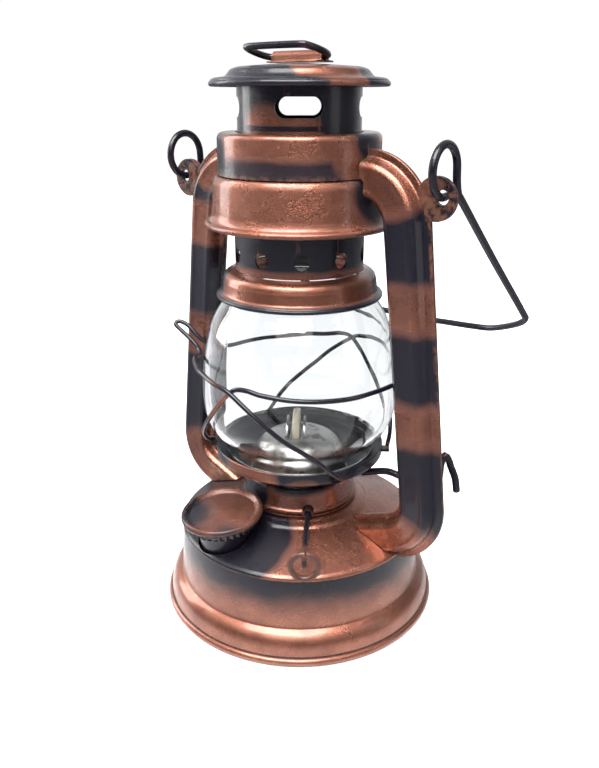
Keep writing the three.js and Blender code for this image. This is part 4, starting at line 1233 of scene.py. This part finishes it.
# ---------------------------------------------------------------------------------------------
# Lift ring and bail
# ---------------------------------------------------------------------------------------------
class LANTERN_OT_lift_ring(bpy.types.Operator):
    """Builds the rolled strap on the canopy and the wire ring that folds in it"""
    bl_idname = "lantern.lift_ring"
    bl_label = "Lift ring"

    def execute(self, context):
        length, r, z = STRAP["length"], STRAP["r"], STRAP["z"]
        foot = CANOPY["top_z"] + SEAM_GAP
        outline = [(-5.5, foot), (5.5, foot), (5.5, foot + 0.45), (5.2, foot + 0.6),
                   (r + 0.3, foot + 0.75)] + arc(
            0, z, r, 0, 180, 24) + [(-r - 0.3, foot + 0.75), (-5.2, foot + 0.6), (-5.5, foot + 0.45)]
        strap = extrude("ring_saddle", outline, length)
        turn = Matrix.Rotation(math.pi / 2, 4, "Z") @ Matrix.Rotation(math.pi / 2, 4, "X")
        strap.data.transform(Matrix.Translation((-length / 2 * MM, 0, 0)) @ turn)
        bore = rod("bore", (-20, 0, z), (20, 0, z), LIFT_RING["wire_r"] + 0.45)
        combine(strap, [bore])
        soften(strap, 0.18)
        fit(strap, "ring_strap", "hood", lacquer("Strap lacquer", 0, wear=0.8))
        rise = math.radians(LIFT_RING["rise"])
        reach = (-LIFT_RING["depth"] * math.cos(rise), LIFT_RING["depth"] * math.sin(rise) - 0.2)
        half = length / 2
        right = [(half - 6, 0), (half, 0), (half + 2.6, 0.12), (half + 3.6, 0.45), (half + 2.6, 0.85),
                 (half - 1, 1)]
        shares = right + [(-x, share) for x, share in right[::-1]]
        loop = [Vector((x, reach[0] * share, z + reach[1] * share)) for x, share in shares]
        ring = wire("folding_ring", LIFT_RING["wire_r"], loop)
        fit(ring, "lift_ring", "top_ring", black_wire("Lift ring lacquer"))
        return {"FINISHED"}


class LANTERN_OT_bail(bpy.types.Operator):
    """Builds the wire bail that the lantern hangs from"""
    bl_idname = "lantern.bail"
    bl_label = "Bail"

    def execute(self, context):
        x = EAR["hole_x"]
        turn = Matrix.Rotation(math.radians(BAIL["back"]), 3, "X")

        def at(px, along, across):
            return turn @ Vector((px, -across, -along)) + Vector((0, 0, BAIL["pivot_z"]))

        eye = [at(x, along, across) for along, across in arc(0, 0, BAIL["ring_r"], 38, 315, 30)]
        arm = [at(x + 0.1, 9.9, -2.8), at(x + 0.2, 14, -0.2), at(x + 0.4, 19, 0), at(65.0, 60, 0),
               at(66, 106, 0)]
        corner = [at(65.4, 113, 0), at(61, 119, 0), at(52, 126, 0), at(42, 131.6, 0), at(31, 133.4, 0),
                  at(9, 135.5, 0)]
        half = eye + arm + corner
        top = [at(4, 138.6, 0), at(0, 141.6, 0), at(-4, 138.6, 0)]
        route = half + top + [Vector((-p.x, p.y, p.z)) for p in half[::-1]]
        piece = wire("bail_wire", BAIL["wire_r"], route)
        fit(piece, "bail", "bail_handle", black_wire("Bail lacquer", 1.0))
        return {"FINISHED"}


# ---------------------------------------------------------------------------------------------
# Stage
# ---------------------------------------------------------------------------------------------
CAMERA = {"place": (0.1933, -0.2474, 0.2210), "pitch": -20.81, "azimuth": 38.0, "lens": 35.74}
BACKDROP_WAY = (-0.616, 0.788, 0.0)  # towards the bright wall behind the lantern
FLOOR = {"half": 4000, "z": -0.2, "white": (0.8, 0.8, 0.8, 1), "far": (0.2, 0.2, 0.22, 1), "glow": 0.75}
SOFTBOXES = (  # name, power, width, height, place, what it points at
    ("left_softbox", 9.0, 0.45, 0.9, (-0.95, -0.28, 0.5), (0, 0, 0.12)),
    ("right_softbox", 1.3, 0.35, 0.9, (0.95, 0.25, 0.45), (0, 0, 0.12)),
    ("top_softbox", 27.0, 0.9, 0.7, (0.12, -0.42, 1.05), (0, 0, 0.1)),
    ("front_softbox", 4.0, 0.9, 0.6, (0.45, -0.8, 0.85), (0, 0, 0.1)))


class LANTERN_OT_stage(bpy.types.Operator):
    """Sets the pale floor, the soft lights, the surroundings and the camera"""
    bl_idname = "lantern.stage"
    bl_label = "Stage"

    def execute(self, context):
        scene = context.scene
        half, z = FLOOR["half"], FLOOR["z"]
        corners = [(-half, -half, z), (half, -half, z), (half, half, z), (-half, half, z)]
        floor = new_piece("floor", corners, [(0, 1, 2, 3)])
        material, w, surface = new_material("Pale floor")
        surface.inputs["Roughness"].default_value = 0.9
        surface.inputs["Specular IOR Level"].default_value = 0.1
        surface.inputs["Emission Color"].default_value = (1, 1, 1, 1)
        path = w.node("ShaderNodeLightPath").outputs
        seen = w.math("MAXIMUM", path["Is Camera Ray"], path["Is Transmission Ray"])
        w.feed(surface.inputs["Emission Strength"], w.math("MULTIPLY", seen, FLOOR["glow"]))
        reach = w.vector("LENGTH", w.node("ShaderNodeNewGeometry").outputs["Position"], out="Value")
        mirrored = w.blend(w.step(reach, 0.07, 0.14), FLOOR["white"], FLOOR["far"])
        w.feed(surface.inputs["Base Color"], w.blend(path["Is Glossy Ray"], FLOOR["white"], mirrored))
        floor.data.materials.append(material)
        self.world(scene)
        for name, power, width, height, place, aim in SOFTBOXES:
            light = bpy.data.lights.new(name, "AREA")
            light.shape = "RECTANGLE"
            light.size, light.size_y, light.energy = width, height, power
            holder = bpy.data.objects.new(name, light)
            scene.collection.objects.link(holder)
            holder.location = place
            holder.rotation_euler = (Vector(aim) - Vector(place)).to_track_quat("-Z", "Y").to_euler()
        lens = bpy.data.cameras.new("camera")
        lens.lens, lens.sensor_width, lens.sensor_fit = CAMERA["lens"], 36.0, "AUTO"
        lens.clip_start = 0.01
        camera = bpy.data.objects.new("camera", lens)
        scene.collection.objects.link(camera)
        camera.location = CAMERA["place"]
        camera.rotation_euler = (math.radians(90 + CAMERA["pitch"]), 0, math.radians(CAMERA["azimuth"]))
        scene.camera = camera
        scene.view_settings.view_transform = "Standard"
        return {"FINISHED"}

    def world(self, scene):
        """White where it is looked at, and a darker room with a bright ceiling where it is reflected."""
        world = bpy.data.worlds.new("studio")
        scene.world = world
        world.use_nodes = True
        w = Wiring(world.node_tree)
        world.node_tree.nodes.clear()
        direction = w.node("ShaderNodeTexCoord").outputs["Generated"]
        height = w.node("ShaderNodeSeparateXYZ", Vector=direction).outputs["Z"]
        ceiling = w.step(height, 0.0, 0.8, 0.05, 0.3)
        behind = w.vector("DOT_PRODUCT", direction, BACKDROP_WAY, out="Value")
        shade_up = w.math("MAXIMUM", ceiling, w.step(behind, 0.25, 0.85, 0.0, 0.85))
        room = w.node("ShaderNodeBackground", Color=w.blend(shade_up, (0, 0, 0, 1), (0.96, 0.98, 1.0, 1)),
                      Strength=1.0)
        white = w.node("ShaderNodeBackground", Color=(1, 1, 1, 1), Strength=1.0)
        path = w.node("ShaderNodeLightPath").outputs
        lit = w.math("MAXIMUM", path["Is Diffuse Ray"], path["Is Glossy Ray"])
        mix = w.node("ShaderNodeMixShader")
        w.feed(mix.inputs[0], lit)
        w.feed(mix.inputs[1], white.outputs[0])
        w.feed(mix.inputs[2], room.outputs[0])
        w.feed(w.node("ShaderNodeOutputWorld").inputs["Surface"], mix.outputs[0])


# ---------------------------------------------------------------------------------------------
# Add-on
# ---------------------------------------------------------------------------------------------
OPERATORS = (
    LANTERN_OT_tank, LANTERN_OT_filler, LANTERN_OT_burner, LANTERN_OT_wick, LANTERN_OT_wick_drive,
    LANTERN_OT_globe_plate, LANTERN_OT_globe, LANTERN_OT_guard, LANTERN_OT_lever, LANTERN_OT_tubes,
    LANTERN_OT_chamber, LANTERN_OT_hood, LANTERN_OT_spring, LANTERN_OT_lift_ring, LANTERN_OT_bail,
    LANTERN_OT_stage)


class LANTERN_PT_panel(bpy.types.Panel):
    """Lists the lantern's pieces and its finish"""
    bl_label = "Hurricane Lantern"
    bl_idname = "LANTERN_PT_panel"
    bl_space_type = "VIEW_3D"
    bl_region_type = "UI"
    bl_category = "Lantern"

    def draw(self, context):
        for group in (context.scene.lantern_finish, context.scene.lantern_mesh):
            box = self.layout.box()
            for name in group.bl_rna.properties.keys():
                if name not in ("rna_type", "name"):
                    box.prop(group, name)
        for operator in OPERATORS:
            self.layout.operator(operator.bl_idname)


CLASSES = (LanternFinish, LanternMesh) + OPERATORS + (LANTERN_PT_panel,)


def register():
    for each in CLASSES:
        bpy.utils.register_class(each)
    bpy.types.Scene.lantern_finish = bpy.props.PointerProperty(type=LanternFinish)
    bpy.types.Scene.lantern_mesh = bpy.props.PointerProperty(type=LanternMesh)


def unregister():
    del bpy.types.Scene.lantern_mesh
    del bpy.types.Scene.lantern_finish
    for each in reversed(CLASSES):
        bpy.utils.unregister_class(each)


def main():
    register()
    for operator in OPERATORS:
        getattr(bpy.ops.lantern, operator.bl_idname.split(".")[1])()


if __name__ == "__main__":
    main()
